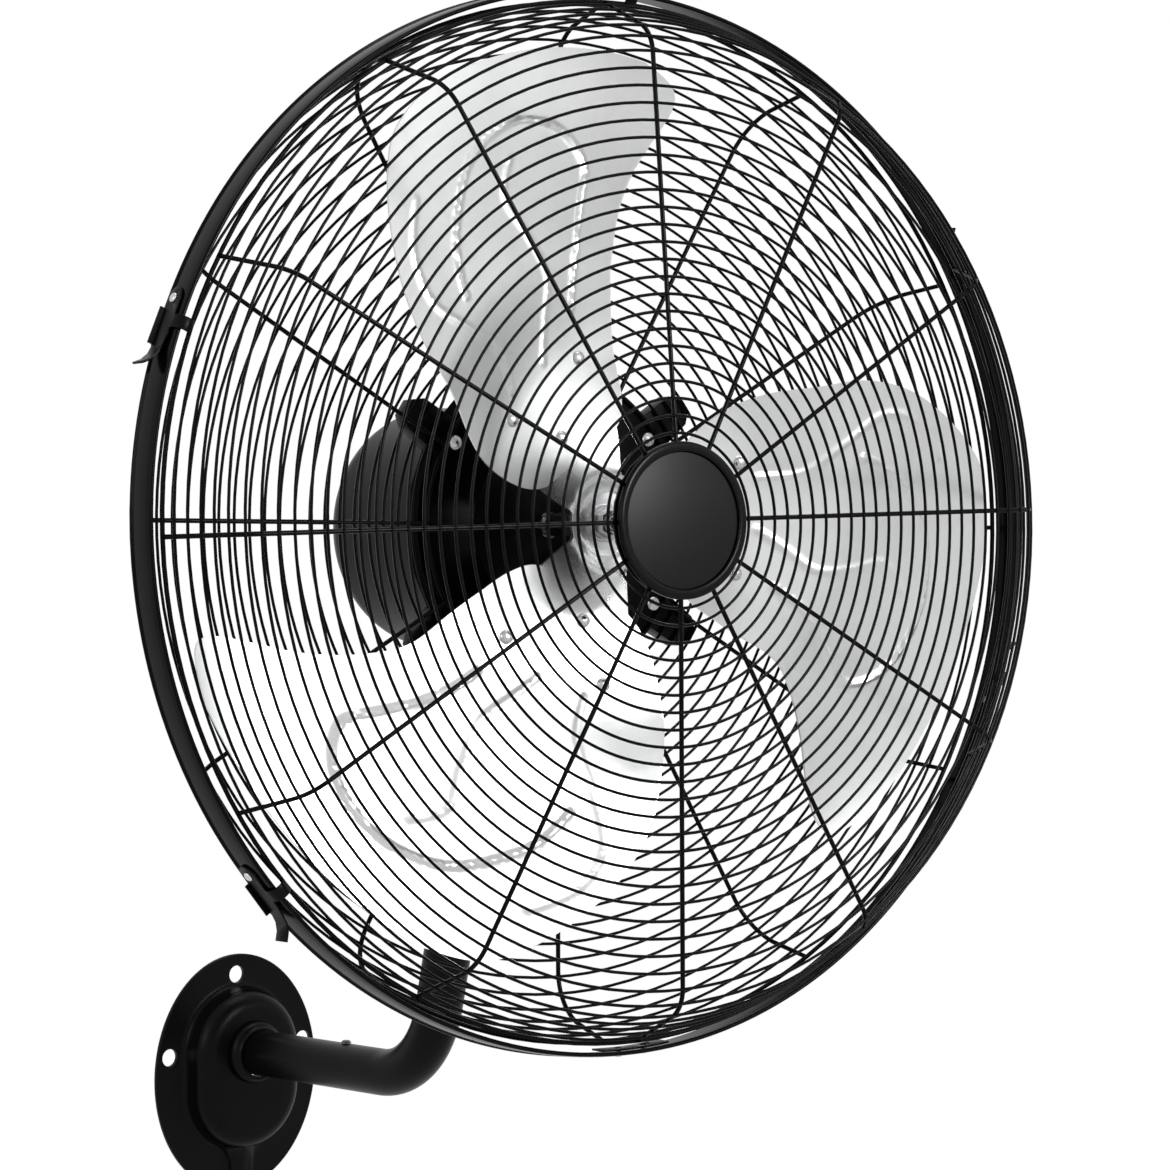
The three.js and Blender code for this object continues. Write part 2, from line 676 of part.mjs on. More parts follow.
// A wire grille as one closed skin. Its rings stand at stations of [radius, forward] and its radial
// wires cross them at equal angles. Every wire has a ridge in front and behind, and a window's
// edges lie in the surface between them, so that crossing wires share the crossing of their ridges.
function grille(stations) {
  const bay = (2 * Math.PI) / RADIALS;
  const last = stations.length - 1;
  const vertices = [];
  const facets = [];
  const vertex = ([radius, forward], angle) => vertices.push(
    new THREE.Vector3(radius * Math.sin(angle), -forward, radius * Math.cos(angle)),
  ) - 1;
  const band = (a, b) => {
    for (let k = 0; k < a.length - 1; k += 1) {
      facets.push(a[k], a[k + 1], b[k + 1], a[k], b[k + 1], b[k]);
    }
  };
  const along = stations.map((_, i) => {
    const [r0, f0] = stations[Math.max(i - 1, 0)];
    const [r1, f1] = stations[Math.min(i + 1, last)];
    return new THREE.Vector2(r1 - r0, f1 - f0).normalize();
  });
  const moved = (i, out, lift) => [
    stations[i][0] + along[i].x * out - along[i].y * lift,
    stations[i][1] + along[i].y * out + along[i].x * lift,
  ];
  const isRim = (i) => i === 0 || i === last;
  const count = stations.map(([radius], i) => facetsPerBay(radius) + (i === last ? 1 : 0));
  const thick = (i) => (isRim(i) ? RADIAL_CORNER : RING_CORNER);
  // A full circle of points at a station, closed on its first point.
  const circle = (i, place) => {
    const points = Array.from({ length: count[i] * RADIALS }, (_, k) => (
      vertex(place(k % count[i] === 0), (k * bay) / count[i])
    ));
    return [...points, points[0]];
  };
  const ridges = [1, -1].map((lift) => stations.map((_, i) => (
    circle(i, (crossing) => moved(i, 0, lift * (crossing ? RADIAL_CORNER : thick(i))))
  )));
  const inside = circle(0, () => moved(0, -RADIAL_CORNER, 0));
  const outside = circle(last, () => moved(last, RADIAL_CORNER, 0));
  // A window's edge along the ring at a station, from one radial wire's side to the next.
  const windowEdge = (i, out, start) => {
    const place = moved(i, out * thick(i), 0);
    const side = RADIAL_CORNER / place[0];
    return Array.from({ length: count[i] + 1 }, (_, k) => {
      const nudge = (k === 0 ? side : 0) - (k === count[i] ? side : 0);
      return vertex(place, start + (k * bay) / count[i] + nudge);
    });
  };
  const [front, rear] = ridges;
  band(front[0], inside);
  band(inside, rear[0]);
  band(outside, front[last]);
  band(rear[last], outside);
  for (let i = 0; i < last; i += 1) {
    for (let spoke = 0; spoke < RADIALS; spoke += 1) {
      const low = windowEdge(i, 1, spoke * bay);
      const high = windowEdge(i + 1, -1, spoke * bay);
      ridges.forEach((ridge, side) => {
        const face = (a, b) => (side === 0 ? band(a, b) : band(b, a));
        const lowRidge = ridge[i].slice(spoke * count[i], (spoke + 1) * count[i] + 1);
        const highRidge = ridge[i + 1].slice(spoke * count[i + 1], (spoke + 1) * count[i + 1] + 1);
        face(low, lowRidge);
        face(highRidge, high);
        face([lowRidge[0], highRidge[0]], [low[0], high[0]]);
        face([low.at(-1), high.at(-1)], [lowRidge.at(-1), highRidge.at(-1)]);
      });
    }
  }
  const geometry = new THREE.BufferGeometry().setFromPoints(vertices);
  geometry.setIndex(facets);
  return solid(geometry);
}

// The removable front guard: rings on a shallow cone, round a shoulder and down a steep side.
function frontGuard() {
  const centreRadius = FRONT_EDGE_RADIUS - SHOULDER_RADIUS * Math.sin(FACE_ANGLE);
  const centreForward = faceForward(FRONT_EDGE_RADIUS) - SHOULDER_RADIUS * Math.cos(FACE_ANGLE);
  const shoulder = shoulderArc(centreRadius, centreForward, SHOULDER_RADIUS, FACE_ANGLE, SIDE_ANGLE);
  const rim = [FRONT_RIM_RADIUS, RIM_FORWARD];
  const face = Array.from({ length: FRONT_FACE_RINGS }, (_, i) => (
    FRONT_RING_START + FRONT_RING_PITCH * i
  ));
  return grille([
    ...[INNER_RING_RADIUS, ...face].map((radius) => [radius, faceForward(radius)]),
    ...shoulder,
    midway(shoulder[shoulder.length - 1], rim),
    rim,
  ]);
}

// The point halfway between two [radius, forward] points.
function midway([radiusA, forwardA], [radiusB, forwardB]) {
  return [(radiusA + radiusB) / 2, (forwardA + forwardB) / 2];
}

// The inner radius of the band, less what its flat facets take away.
const BAND_INNER = BAND_RADIUS - BAND_SHEET;
const BAND_INSCRIBED = BAND_INNER * Math.cos(Math.PI / BAND_FACETS);
const REAR_RIM_RADIUS = BAND_INSCRIBED - CLEARANCE - RADIAL_CORNER;
const REAR_RIM_FORWARD = -BAND_WIDTH + RADIAL_CORNER;

const GUARD_PLATE_FRONT = -REAR_DEPTH - RADIAL_CORNER / 2;
const GUARD_PLATE_REAR = GUARD_PLATE_FRONT - REAR_PLATE_THICKNESS;

// The fixed rear guard: a mounting plate, rings on a flat face and a deep round shoulder.
function rearGuard() {
  const shoulder = shoulderArc(
    REAR_EDGE_RADIUS,
    REAR_SHOULDER_RADIUS - REAR_DEPTH,
    REAR_SHOULDER_RADIUS,
    Math.PI - degToRad(REAR_SHOULDER_START),
    Math.PI - degToRad(REAR_SHOULDER_SWEEP),
  );
  const face = Array.from({ length: REAR_FACE_RINGS }, (_, i) => REAR_RING_START + REAR_RING_PITCH * i);
  const wires = grille([
    ...[REAR_PLATE_OUTER - RADIAL_WIRE, ...face].map((radius) => [radius, -REAR_DEPTH]),
    ...shoulder,
    [REAR_RIM_RADIUS, REAR_RIM_FORWARD],
  ]);
  const plate = hollowDisc(
    REAR_PLATE_INNER,
    REAR_PLATE_OUTER,
    GUARD_PLATE_FRONT,
    GUARD_PLATE_REAR,
    BODY_FACETS,
  );
  const hole = bore(
    GUARD_SCREW_DIAMETER / 2 + CLEARANCE,
    GUARD_PLATE_FRONT + 1,
    GUARD_PLATE_REAR - 1,
    RIVET_FACETS,
  );
  return cut(
    join(wires, plate).rotate([0, REAR_TURN, 0]),
    ...guardScrewPlaces().map((place) => hole.translate(place)),
  );
}

// The four screws that hold the rear guard on the motor, as offsets in X and Z.
function guardScrewPlaces() {
  return [[1, 1], [-1, 1], [-1, -1], [1, -1]]
    .map(([right, up]) => [right * GUARD_SCREW_X, 0, up * GUARD_SCREW_Z]);
}

// A hole through the band and what lies on it, along its outward direction at an azimuth.
function bandHole(azimuth, radius) {
  const drill = standing(bore(radius, BAND_RADIUS + 6, BAND_RADIUS - 6, RIVET_FACETS));
  return drill.translate([0, BAND_WIDTH / 2, 0]).rotate([0, 90 - azimuth, 0]);
}

// The band round both guards: a flange turned in at the front, a bead rolled out at the rear.
function guardBand() {
  const rear = -BAND_WIDTH;
  const profile = [
    [BAND_RADIUS - BAND_FLANGE - BAND_SHEET, 0],
    [BAND_RADIUS - BAND_SHEET / 2, 0],
    [BAND_RADIUS, -BAND_SHEET / 2],
    [BAND_RADIUS, rear + BAND_BEAD],
    [BAND_RADIUS + BAND_BEAD / 2, rear + BAND_BEAD / 2],
    [BAND_RADIUS, rear],
    [BAND_INNER, rear],
    [BAND_INNER, -BAND_SHEET],
    [BAND_RADIUS - BAND_FLANGE - BAND_SHEET, -BAND_SHEET],
  ];
  const hole = LATCH_RIVET_DIAMETER / 2 + CLEARANCE;
  return cut(
    ringOf(profile, BAND_FACETS),
    ...[...LATCH_AZIMUTHS, ...JOINT_RIVET_AZIMUTHS].map((azimuth) => bandHole(azimuth, hole)),
  );
}

// The strap inside the band's joint, which both joint rivets pass through.
function bandStrap() {
  const outer = BAND_INSCRIBED - CLEARANCE;
  const middle = (JOINT_RIVET_AZIMUTHS[0] + JOINT_RIVET_AZIMUTHS[1]) / 2;
  const [from, to] = [middle - STRAP_SPAN / 2, middle + STRAP_SPAN / 2].map(degToRad);
  const sector = new THREE.Shape();
  sector.absarc(0, 0, outer, from, to, false);
  sector.absarc(0, 0, outer - BAND_SHEET, to, from, true);
  const strap = solid(extruded(sector, STRAP_WIDTH, 4).rotateX(Math.PI / 2));
  const hole = LATCH_RIVET_DIAMETER / 2 + CLEARANCE;
  return cut(
    strap.translate([0, (BAND_WIDTH + STRAP_WIDTH) / 2, 0]),
    ...JOINT_RIVET_AZIMUTHS.map((azimuth) => bandHole(azimuth, hole)),
  );
}

// A rivet through the band along its outward direction, its head at a height over the band.
function bandRivet(azimuth, headSeat, length) {
  const shank = LATCH_RIVET_DIAMETER / 2;
  const rivet = standing(headed(1.6 * shank, 1.6, shank, BAND_RADIUS + headSeat, length));
  return rivet.translate([0, BAND_WIDTH / 2, 0]).rotate([0, 90 - azimuth, 0]);
}

// ---- Latches, in frames on the band: X runs round it, Y forward and Z outward ------------------

// The sheet of a latch: a flat plate with a round rivet end, a hooked lip, a flange and a tab.
function latch() {
  const lift = CLEARANCE;
  const front = BAND_WIDTH / 2;
  const side = LATCH_END_RADIUS;
  const outline = new THREE.Shape();
  outline.absarc(0, 0, side, Math.PI / 2, 1.5 * Math.PI, false);
  outline.lineTo(LATCH_TAB_START - 2, -side);
  outline.lineTo(LATCH_TAB_START, -LATCH_TAB_WIDTH / 2);
  outline.lineTo(LATCH_TAB_START, LATCH_TAB_WIDTH / 2);
  outline.lineTo(LATCH_LIP_END + 4, side);
  outline.lineTo(LATCH_LIP_END, side);
  outline.lineTo(LATCH_LIP_END, front + 0.5);
  outline.lineTo(LATCH_LIP_START, front + 0.5);
  outline.lineTo(LATCH_LIP_START, side);
  const plate = solid(extruded(outline, LATCH_SHEET, 4)).translate([0, 0, lift]);
  const hole = bore(LATCH_RIVET_DIAMETER / 2 + CLEARANCE, LATCH_SHEET + 1, -1, RIVET_FACETS);
  const flange = new THREE.BoxGeometry(LATCH_TAB_START - 8, LATCH_SHEET, LATCH_FLANGE_HEIGHT);
  flange.translate((LATCH_TAB_START + 4) / 2, LATCH_SHEET / 2 - side, lift + LATCH_FLANGE_HEIGHT / 2);
  return cut(
    join(plate, latchLip(lift, front), latchTab(lift), solid(flange)),
    standing(hole),
  );
}

// The hook that reaches over the band's front edge and holds the guard's rim.
function latchLip(lift, front) {
  const outer = LATCH_LIP_RADIUS + LATCH_SHEET;
  const middle = lift - LATCH_LIP_RADIUS;
  const lip = new THREE.Shape();
  const end = degToRad(LATCH_LIP_SWEEP - 90);
  lip.absarc(front, -middle, outer, -Math.PI / 2, end, false);
  lip.absarc(front, -middle, LATCH_LIP_RADIUS, end, -Math.PI / 2, true);
  const bent = extruded(lip, LATCH_LIP_END - LATCH_LIP_START, 4);
  const basis = new THREE.Matrix4().makeBasis(
    new THREE.Vector3(0, 1, 0),
    new THREE.Vector3(0, 0, -1),
    new THREE.Vector3(-1, 0, 0),
  );
  return solid(bent.applyMatrix4(basis).translate(LATCH_LIP_END, 0, 0));
}

// The thumb tab, which curls outwards at the latch's free end.
function latchTab(lift) {
  const curl = LATCH_LENGTH - LATCH_TAB_START;
  const curve = new THREE.Shape();
  curve.moveTo(LATCH_TAB_START - 1, lift);
  curve.quadraticCurveTo(LATCH_TAB_START + 0.6 * curl, lift, LATCH_LENGTH, 0.6 * curl);
  curve.lineTo(LATCH_LENGTH - 1, 0.6 * curl + 1);
  curve.quadraticCurveTo(
    LATCH_TAB_START + 0.55 * curl,
    lift + LATCH_SHEET,
    LATCH_TAB_START - 1,
    lift + LATCH_SHEET,
  );
  const tab = extruded(curve, LATCH_TAB_WIDTH, 3).rotateX(Math.PI / 2);
  return solid(tab.translate(0, LATCH_TAB_WIDTH / 2, 0));
}

// ---- Badge -------------------------------------------------------------------------------------

// The bezel's back lies just in front of the radial wires.
const BEZEL_BACK = faceForward(INNER_RING_RADIUS) + RADIAL_CORNER + CLEARANCE;
const CLAMP_FRONT = faceForward(BADGE_CLAMP_RADIUS) - RADIAL_CORNER - CLEARANCE;

function badgeBezel() {
  const top = BEZEL_BACK + BEZEL_HEIGHT;
  const floor = BEZEL_BACK + BEZEL_FLOOR;
  const inner = BADGE_RADIUS + CLEARANCE;
  const bowl = solid(revolve([
    [0, floor],
    [inner, floor],
    [inner + 0.8, top - 0.8],
    [inner + 2.4, top],
    [BEZEL_RADIUS - 1.6, top - 0.5],
    [BEZEL_RADIUS, top - 2.2],
    [BEZEL_RADIUS - 1, BEZEL_BACK],
    [0, BEZEL_BACK],
  ], BODY_FACETS));
  const boss = disc(BADGE_SCREW_DIAMETER + 2, BEZEL_BACK + 0.5, CLAMP_FRONT + CLEARANCE, SMALL_FACETS);
  const thread = bore(
    BADGE_SCREW_DIAMETER / 2 + CLEARANCE,
    BEZEL_BACK,
    CLAMP_FRONT - 1,
    RIVET_FACETS,
  );
  return cut(join(bowl, boss), thread);
}

function badgeDisc() {
  const back = BEZEL_BACK + BEZEL_FLOOR + CLEARANCE;
  return disc(BADGE_RADIUS, back + BADGE_THICKNESS, back, BODY_FACETS);
}

// The disc behind the wires that draws the bezel on to them.
function badgeClamp() {
  const rear = CLAMP_FRONT - BEZEL_FLOOR;
  return hollowDisc(
    BADGE_SCREW_DIAMETER / 2 + CLEARANCE,
    BADGE_CLAMP_RADIUS,
    CLAMP_FRONT,
    rear,
    BODY_FACETS,
  );
}

function badgeScrew() {
  const seat = BEZEL_FLOOR + CLEARANCE - CLAMP_FRONT;
  const reach = seat + BEZEL_BACK - CLEARANCE;
  const screw = headed(BADGE_SCREW_DIAMETER, 2.4, BADGE_SCREW_DIAMETER / 2, seat, reach);
  return screw.rotate([0, 0, 180]);
}

// ---- Blades, hub and spider --------------------------------------------------------------------

// A smooth step from 0 to 1.
function smooth(share) {
  return THREE.MathUtils.smoothstep(share, 0, 1);
}

// The forward place of a blade's middle surface at a radius and an angle from its centre line.
function bladeForward(radius, offset) {
  const span = (radius - TWIST_PEAK_RADIUS) / TWIST_SPREAD;
  const twist = Math.max(0, TWIST_PEAK - TWIST_FALL * span * span);
  const dish = BLADE_DISH * smooth((radius - DISH_START) / DISH_LENGTH);
  return BLADE_BASE + dish + twist * radius * degToRad(offset);
}

// A point at a radius, an azimuth and a forward place.
function polarPoint(radius, azimuth, forward) {
  return outward(azimuth).multiplyScalar(radius).addScaledVector(FORWARD, forward);
}

// Reads a smooth edge given as [radius, angle] points at one radius.
function edgeAngle(edge, radius) {
  const last = edge.length - 1;
  const found = edge.findIndex(([at]) => at >= radius);
  const i = found < 0 ? last : Math.max(found, 1);
  const [[r0, a0], [r1, a1]] = [edge[i - 1], edge[i]];
  return a0 + ((a1 - a0) * (radius - r0)) / (r1 - r0);
}

// A closed sheet between a front and a rear grid of points, each row as long as the next.
function sheetSolid(front, rear, closed) {
  const rows = front.length;
  const columns = front[0].length;
  const side = rows * columns;
  const at = (row, column) => row * columns + (column % columns);
  const facets = [];
  const quad = (a, b, c, d) => facets.push(a, b, c, a, c, d);
  const spans = closed ? columns : columns - 1;
  for (let row = 0; row < rows - 1; row += 1) {
    for (let column = 0; column < spans; column += 1) {
      const [a, b] = [at(row, column), at(row, column + 1)];
      const [c, d] = [at(row + 1, column + 1), at(row + 1, column)];
      quad(a, b, c, d);
      quad(side + a, side + d, side + c, side + b);
    }
    if (!closed) {
      quad(at(row, 0), at(row + 1, 0), side + at(row + 1, 0), side + at(row, 0));
      const [near, far] = [at(row, columns - 1), at(row + 1, columns - 1)];
      quad(near, side + near, side + far, far);
    }
  }
  for (let column = 0; column < spans; column += 1) {
    const [a, b] = [at(0, column), at(0, column + 1)];
    quad(a, side + a, side + b, b);
    const [c, d] = [at(rows - 1, column), at(rows - 1, column + 1)];
    quad(c, d, side + d, side + c);
  }
  const geometry = new THREE.BufferGeometry().setFromPoints([...front.flat(), ...rear.flat()]);
  geometry.setIndex(facets);
  return solid(geometry);
}

// Where a rivet stands on the blade at an azimuth: its frame on the sheet's middle surface.
function rivetFrame([radius, offset], azimuth) {
  const point = (r, a) => polarPoint(r, azimuth + a, bladeForward(r, a));
  const here = point(radius, offset);
  const along = point(radius + 1, offset).sub(here);
  const round = point(radius, offset + 1).sub(here);
  const normal = new THREE.Vector3().crossVectors(along, round).normalize();
  if (normal.dot(FORWARD) < 0) normal.negate();
  const turn = new THREE.Quaternion().setFromUnitVectors(FORWARD, normal);
  return new THREE.Matrix4().compose(here, turn, new THREE.Vector3(1, 1, 1));
}

// Puts a solid that is made along the fan's axis into a frame.
function into(frame, shape) {
  return shape.transform(frame.elements);
}

// The cutter for a blade rivet's hole.
function rivetDrill() {
  const radius = BLADE_RIVET_DIAMETER / 2 + CLEARANCE;
  return bore(radius, RIVET_DRILL_REACH, -RIVET_DRILL_REACH, RIVET_FACETS);
}

// The pressed rib that runs as a loop round the blade's middle.
function bladeRib(azimuth) {
  const loop = new THREE.CatmullRomCurve3(
    RIB_LOOP.map(([radius, offset]) => new THREE.Vector3(radius, offset, 0)),
  );
  const points = loop.getPoints(RIB_STEPS);
  const half = BLADE_SHEET / 2;
  const rings = points.map(({ x: radius, y: offset }, i) => {
    const before = points[Math.max(i - 1, 0)];
    const after = points[Math.min(i + 1, RIB_STEPS)];
    const along = new THREE.Vector2(
      after.x - before.x,
      degToRad(after.y - before.y) * radius,
    ).normalize().multiplyScalar(RIB_WIDTH / 2);
    const at = (out, round, lift) => {
      const r = radius + out;
      const a = offset + THREE.MathUtils.radToDeg(round / radius);
      return polarPoint(r, azimuth + a, bladeForward(r, a) + lift);
    };
    return [
      at(along.y, -along.x, 0),
      at(0, 0, half + RIB_HEIGHT),
      at(-along.y, along.x, 0),
    ];
  });
  return skin(rings);
}

// The sheet between a blade's two edges, from its straight root to its tip, between two lifts
// off the middle surface.
function bladeSheet(azimuth, top, bottom) {
  const rows = BLADE_STATIONS.map((radius) => {
    const from = edgeAngle(TRAILING_EDGE, radius);
    const to = edgeAngle(LEADING_EDGE, radius);
    return Array.from({ length: BLADE_COLUMNS + 1 }, (_, i) => {
      const offset = from + ((to - from) * i) / BLADE_COLUMNS;
      const root = BLADE_ROOT / Math.cos(degToRad(offset));
      return [Math.max(radius, root), offset];
    });
  });
  const face = (lift) => rows.map((row) => row.map(([radius, offset]) => (
    polarPoint(radius, azimuth + offset, bladeForward(radius, offset) + lift)
  )));
  return sheetSolid(face(top), face(bottom), false);
}

// One blade: its sheet, the pressed rib and the rivet holes.
function blade(azimuth) {
  const sheet = bladeSheet(azimuth, BLADE_SHEET / 2, -BLADE_SHEET / 2);
  const hole = rivetDrill();
  const holes = BLADE_RIVETS.map((place) => into(rivetFrame(place, azimuth), hole));
  return cut(join(sheet, bladeRib(azimuth)), ...holes);
}

// A rivet that holds a blade on the spider.
function bladeRivet(place, azimuth) {
  const seat = BLADE_SHEET / 2 + RIVET_STANDOFF;
  const length = seat + BLADE_SHEET / 2 + CLEARANCE + SPIDER_SHEET;
  const rivet = headed(BLADE_RIVET_HEAD / 2, 2.4, BLADE_RIVET_DIAMETER / 2, seat, length);
  return into(rivetFrame(place, azimuth), rivet);
}

// How far the spider reaches at an angle from a blade's centre line: an arm, then a waist.
function spiderReach(offset) {
  const fall = smooth((Math.abs(offset) - SPIDER_ARM_HALF) / (180 / BLADES - SPIDER_ARM_HALF));
  const corner = smooth((Math.abs(offset) / SPIDER_ARM_HALF - 0.6) / 0.4);
  const arm = SPIDER_REACH - SPIDER_CORNER * corner;
  return arm + (SPIDER_WAIST - arm) * fall;
}

// The front of the spider: under the blades on its arms, and drawn in round the nut.
function spiderForward(radius, offset) {
  const under = BLADE_SHEET / 2 + CLEARANCE + SPIDER_EASE;
  const share = 1 - smooth((Math.abs(offset) - SPIDER_ARM_HALF) / (180 / BLADES - SPIDER_ARM_HALF));
  const arm = BLADE_BASE - under + (bladeForward(radius, offset) - BLADE_BASE) * share;
  const recess = 1 - smooth((radius - HUB_RADIUS) / (SPIDER_RECESS - HUB_RADIUS));
  return arm + (-HUB_FRONT - arm) * recess;
}

// The pressed spider with its hub, which carries the three blades.
function hubSpider() {
  const columns = SPIDER_COLUMNS;
  const shares = [0, 0.25, 0.6, 1];
  const inner = HUB_RADIUS - SPIDER_LAP;
  const rows = shares.map((share) => Array.from({ length: columns }, (_, i) => {
    const azimuth = BLADE_AZIMUTH + (360 * i) / columns;
    const offset = THREE.MathUtils.euclideanModulo(
      (360 * i) / columns + 180 / BLADES,
      360 / BLADES,
    ) - 180 / BLADES;
    const radius = inner + (spiderReach(offset) - inner) * share;
    return { radius, azimuth, forward: spiderForward(radius, offset) };
  }));
  const face = (lift) => rows.map((row) => row.map((point) => (
    polarPoint(point.radius, point.azimuth, point.forward - lift)
  )));
  const sheet = sheetSolid(face(0), face(SPIDER_SHEET), true);
  const hub = disc(HUB_RADIUS, -HUB_FRONT, -HUB_REAR, BODY_FACETS / 2);
  const shaftBore = bore(SHAFT_END_DIAMETER / 2 + CLEARANCE, 0, -HUB_REAR - 1, SMALL_FACETS);
  const hole = rivetDrill();
  const holes = bladeAzimuths().flatMap((azimuth) => (
    BLADE_RIVETS.map((place) => into(rivetFrame(place, azimuth), hole))
  ));
  const seats = bladeAzimuths().map((azimuth) => (
    bladeSheet(azimuth, 4 * SPIDER_SHEET, -BLADE_SHEET / 2 - CLEARANCE)
  ));
  return cut(join(sheet, hub), shaftBore, ...seats, ...holes);
}

function bladeAzimuths() {
  return Array.from({ length: BLADES }, (_, i) => BLADE_AZIMUTH + (360 * i) / BLADES);
}

// ---- Motor -------------------------------------------------------------------------------------

const WASHER_REAR = -HUB_FRONT + CLEARANCE;
const NUT_REAR = WASHER_REAR + WASHER_THICKNESS + CLEARANCE;
const BEARING_BORE = BEARING_DIAMETER / 2 + CLEARANCE;
const SHAFT_RADIUS = SHAFT_DIAMETER / 2;
const BELL_FRONT = SHIELD_FRONT + 2 * SHIELD_WALL;
const FRONT_BEARING = SHIELD_FRONT + SHIELD_WALL;
const REAR_BEARING = BELL_REAR - BELL_WALL - CLEARANCE - BEARING_WIDTH;
const ROTOR_RADIUS = STATOR_BORE_DIAMETER / 2 - AIR_GAP;

// The stepped shaft, from the rear bearing through the motor to the nut's thread.
function shaft() {
  return solid(revolve([
    [0, -SHAFT_FRONT],
    [SHAFT_END_DIAMETER / 2, -SHAFT_FRONT],
    [SHAFT_END_DIAMETER / 2, -HUB_REAR - CLEARANCE],
    [SHAFT_RADIUS + 1.5, -HUB_REAR - CLEARANCE],
    [SHAFT_RADIUS + 1.5, -SHIELD_FRONT + 4],
    [SHAFT_RADIUS, -SHIELD_FRONT + 4],
    [SHAFT_RADIUS, -REAR_BEARING - BEARING_WIDTH],
    [0, -REAR_BEARING - BEARING_WIDTH],
  ], SMALL_FACETS));
}

function hubWasher() {
  const inner = SHAFT_END_DIAMETER / 2 + CLEARANCE;
  const front = WASHER_REAR + WASHER_THICKNESS;
  return hollowDisc(inner, WASHER_DIAMETER / 2, front, WASHER_REAR, SMALL_FACETS);
}

function hubNut() {
  const front = NUT_REAR + NUT_HEIGHT;
  const thread = bore(SHAFT_END_DIAMETER / 2 + CLEARANCE, front + 1, NUT_REAR - 1, SMALL_FACETS);
  return cut(hexagon(NUT_WIDTH, front, NUT_REAR), thread);
}

// The rotor's laminated core on the shaft, inside the stator.
function rotorCore() {
  return hollowDisc(
    SHAFT_RADIUS + CLEARANCE,
    ROTOR_RADIUS,
    -STATOR_FRONT - 2,
    -STATOR_FRONT - STATOR_LENGTH + 2,
    BODY_FACETS,
  );
}

function statorCore() {
  const outer = (BELL_RADIUS - BELL_WALL) * Math.cos(Math.PI / BODY_FACETS) - CLEARANCE;
  const rear = STATOR_FRONT + STATOR_LENGTH;
  return hollowDisc(STATOR_BORE_DIAMETER / 2, outer, -STATOR_FRONT, -rear, BODY_FACETS);
}

// A bearing on the shaft, its front face at a distance behind the band's front edge.
function bearing(front) {
  return hollowDisc(
    SHAFT_RADIUS + CLEARANCE,
    BEARING_DIAMETER / 2,
    -front,
    -front - BEARING_WIDTH,
    BODY_FACETS / 2,
  );
}

// One ribbed ear of the end shield, at the azimuth of a guard screw.
function shieldEar(azimuth) {
  const pad = GUARD_PLATE_REAR - CLEARANCE;
  const rear = -SHIELD_FRONT - SHIELD_WALL - 2;
  const half = EAR_WIDTH / 2;
  const outline = new THREE.Shape();
  outline.moveTo(-half, SHIELD_RADIUS - 28);
  outline.lineTo(half, SHIELD_RADIUS - 28);
  outline.lineTo(half - 3, EAR_REACH - 6);
  outline.lineTo(half - 8, EAR_REACH);
  outline.lineTo(8 - half, EAR_REACH);
  outline.lineTo(3 - half, EAR_REACH - 6);
  const lug = solid(extruded(outline, pad - rear).rotateX(Math.PI / 2).translate(0, -rear, 0));
  const rib = new THREE.BoxGeometry(4, 12, EAR_REACH - BELL_RADIUS - 14);
  rib.translate(0, 6 - rear, (EAR_REACH + BELL_RADIUS) / 2 + 1);
  return join(lug, solid(rib)).rotate([0, 90 - azimuth, 0]);
}

// The end shield: a shallow dish with the front bearing's housing, a spigot and four ears.
function endShield() {
  const housing = BEARING_BORE + 5;
  const front = -SHIELD_FRONT;
  const wall = front - SHIELD_WALL;
  const bellOuter = BELL_RADIUS + CLEARANCE;
  const dish = ringOf([
    [SHAFT_RADIUS + 2.5, front],
    [SHIELD_RADIUS - 4, front - 2],
    [SHIELD_RADIUS, wall],
    [bellOuter + 6, wall - 5],
    [bellOuter + 6, -SHIELD_REAR],
    [bellOuter, -SHIELD_REAR],
    [bellOuter, -BELL_FRONT + CLEARANCE],
    [housing, wall - 2],
    [housing, -FRONT_BEARING - BEARING_WIDTH],
    [BEARING_BORE, -FRONT_BEARING - BEARING_WIDTH],
    [BEARING_BORE, -FRONT_BEARING + CLEARANCE],
    [SHAFT_RADIUS + 2.5, -FRONT_BEARING + CLEARANCE],
  ], BODY_FACETS);
  const pad = GUARD_PLATE_REAR - CLEARANCE;
  const azimuth = THREE.MathUtils.radToDeg(Math.atan2(GUARD_SCREW_Z, GUARD_SCREW_X));
  const ears = [azimuth, 180 - azimuth, 180 + azimuth, -azimuth].map(shieldEar);
  const thread = bore(GUARD_SCREW_DIAMETER / 2 + CLEARANCE, pad + 1, pad - GUARD_SCREW_DEPTH, RIVET_FACETS);
  return cut(join(dish, ...ears), ...guardScrewPlaces().map((place) => thread.translate(place)));
}

// A screw through the rear guard's plate into the end shield.
function guardScrew(place) {
  const seat = GUARD_PLATE_FRONT + CLEARANCE;
  const length = REAR_PLATE_THICKNESS + GUARD_SCREW_DEPTH;
  const head = headed(GUARD_SCREW_DIAMETER, 3, GUARD_SCREW_DIAMETER / 2, seat, length);
  return head.translate(place);
}

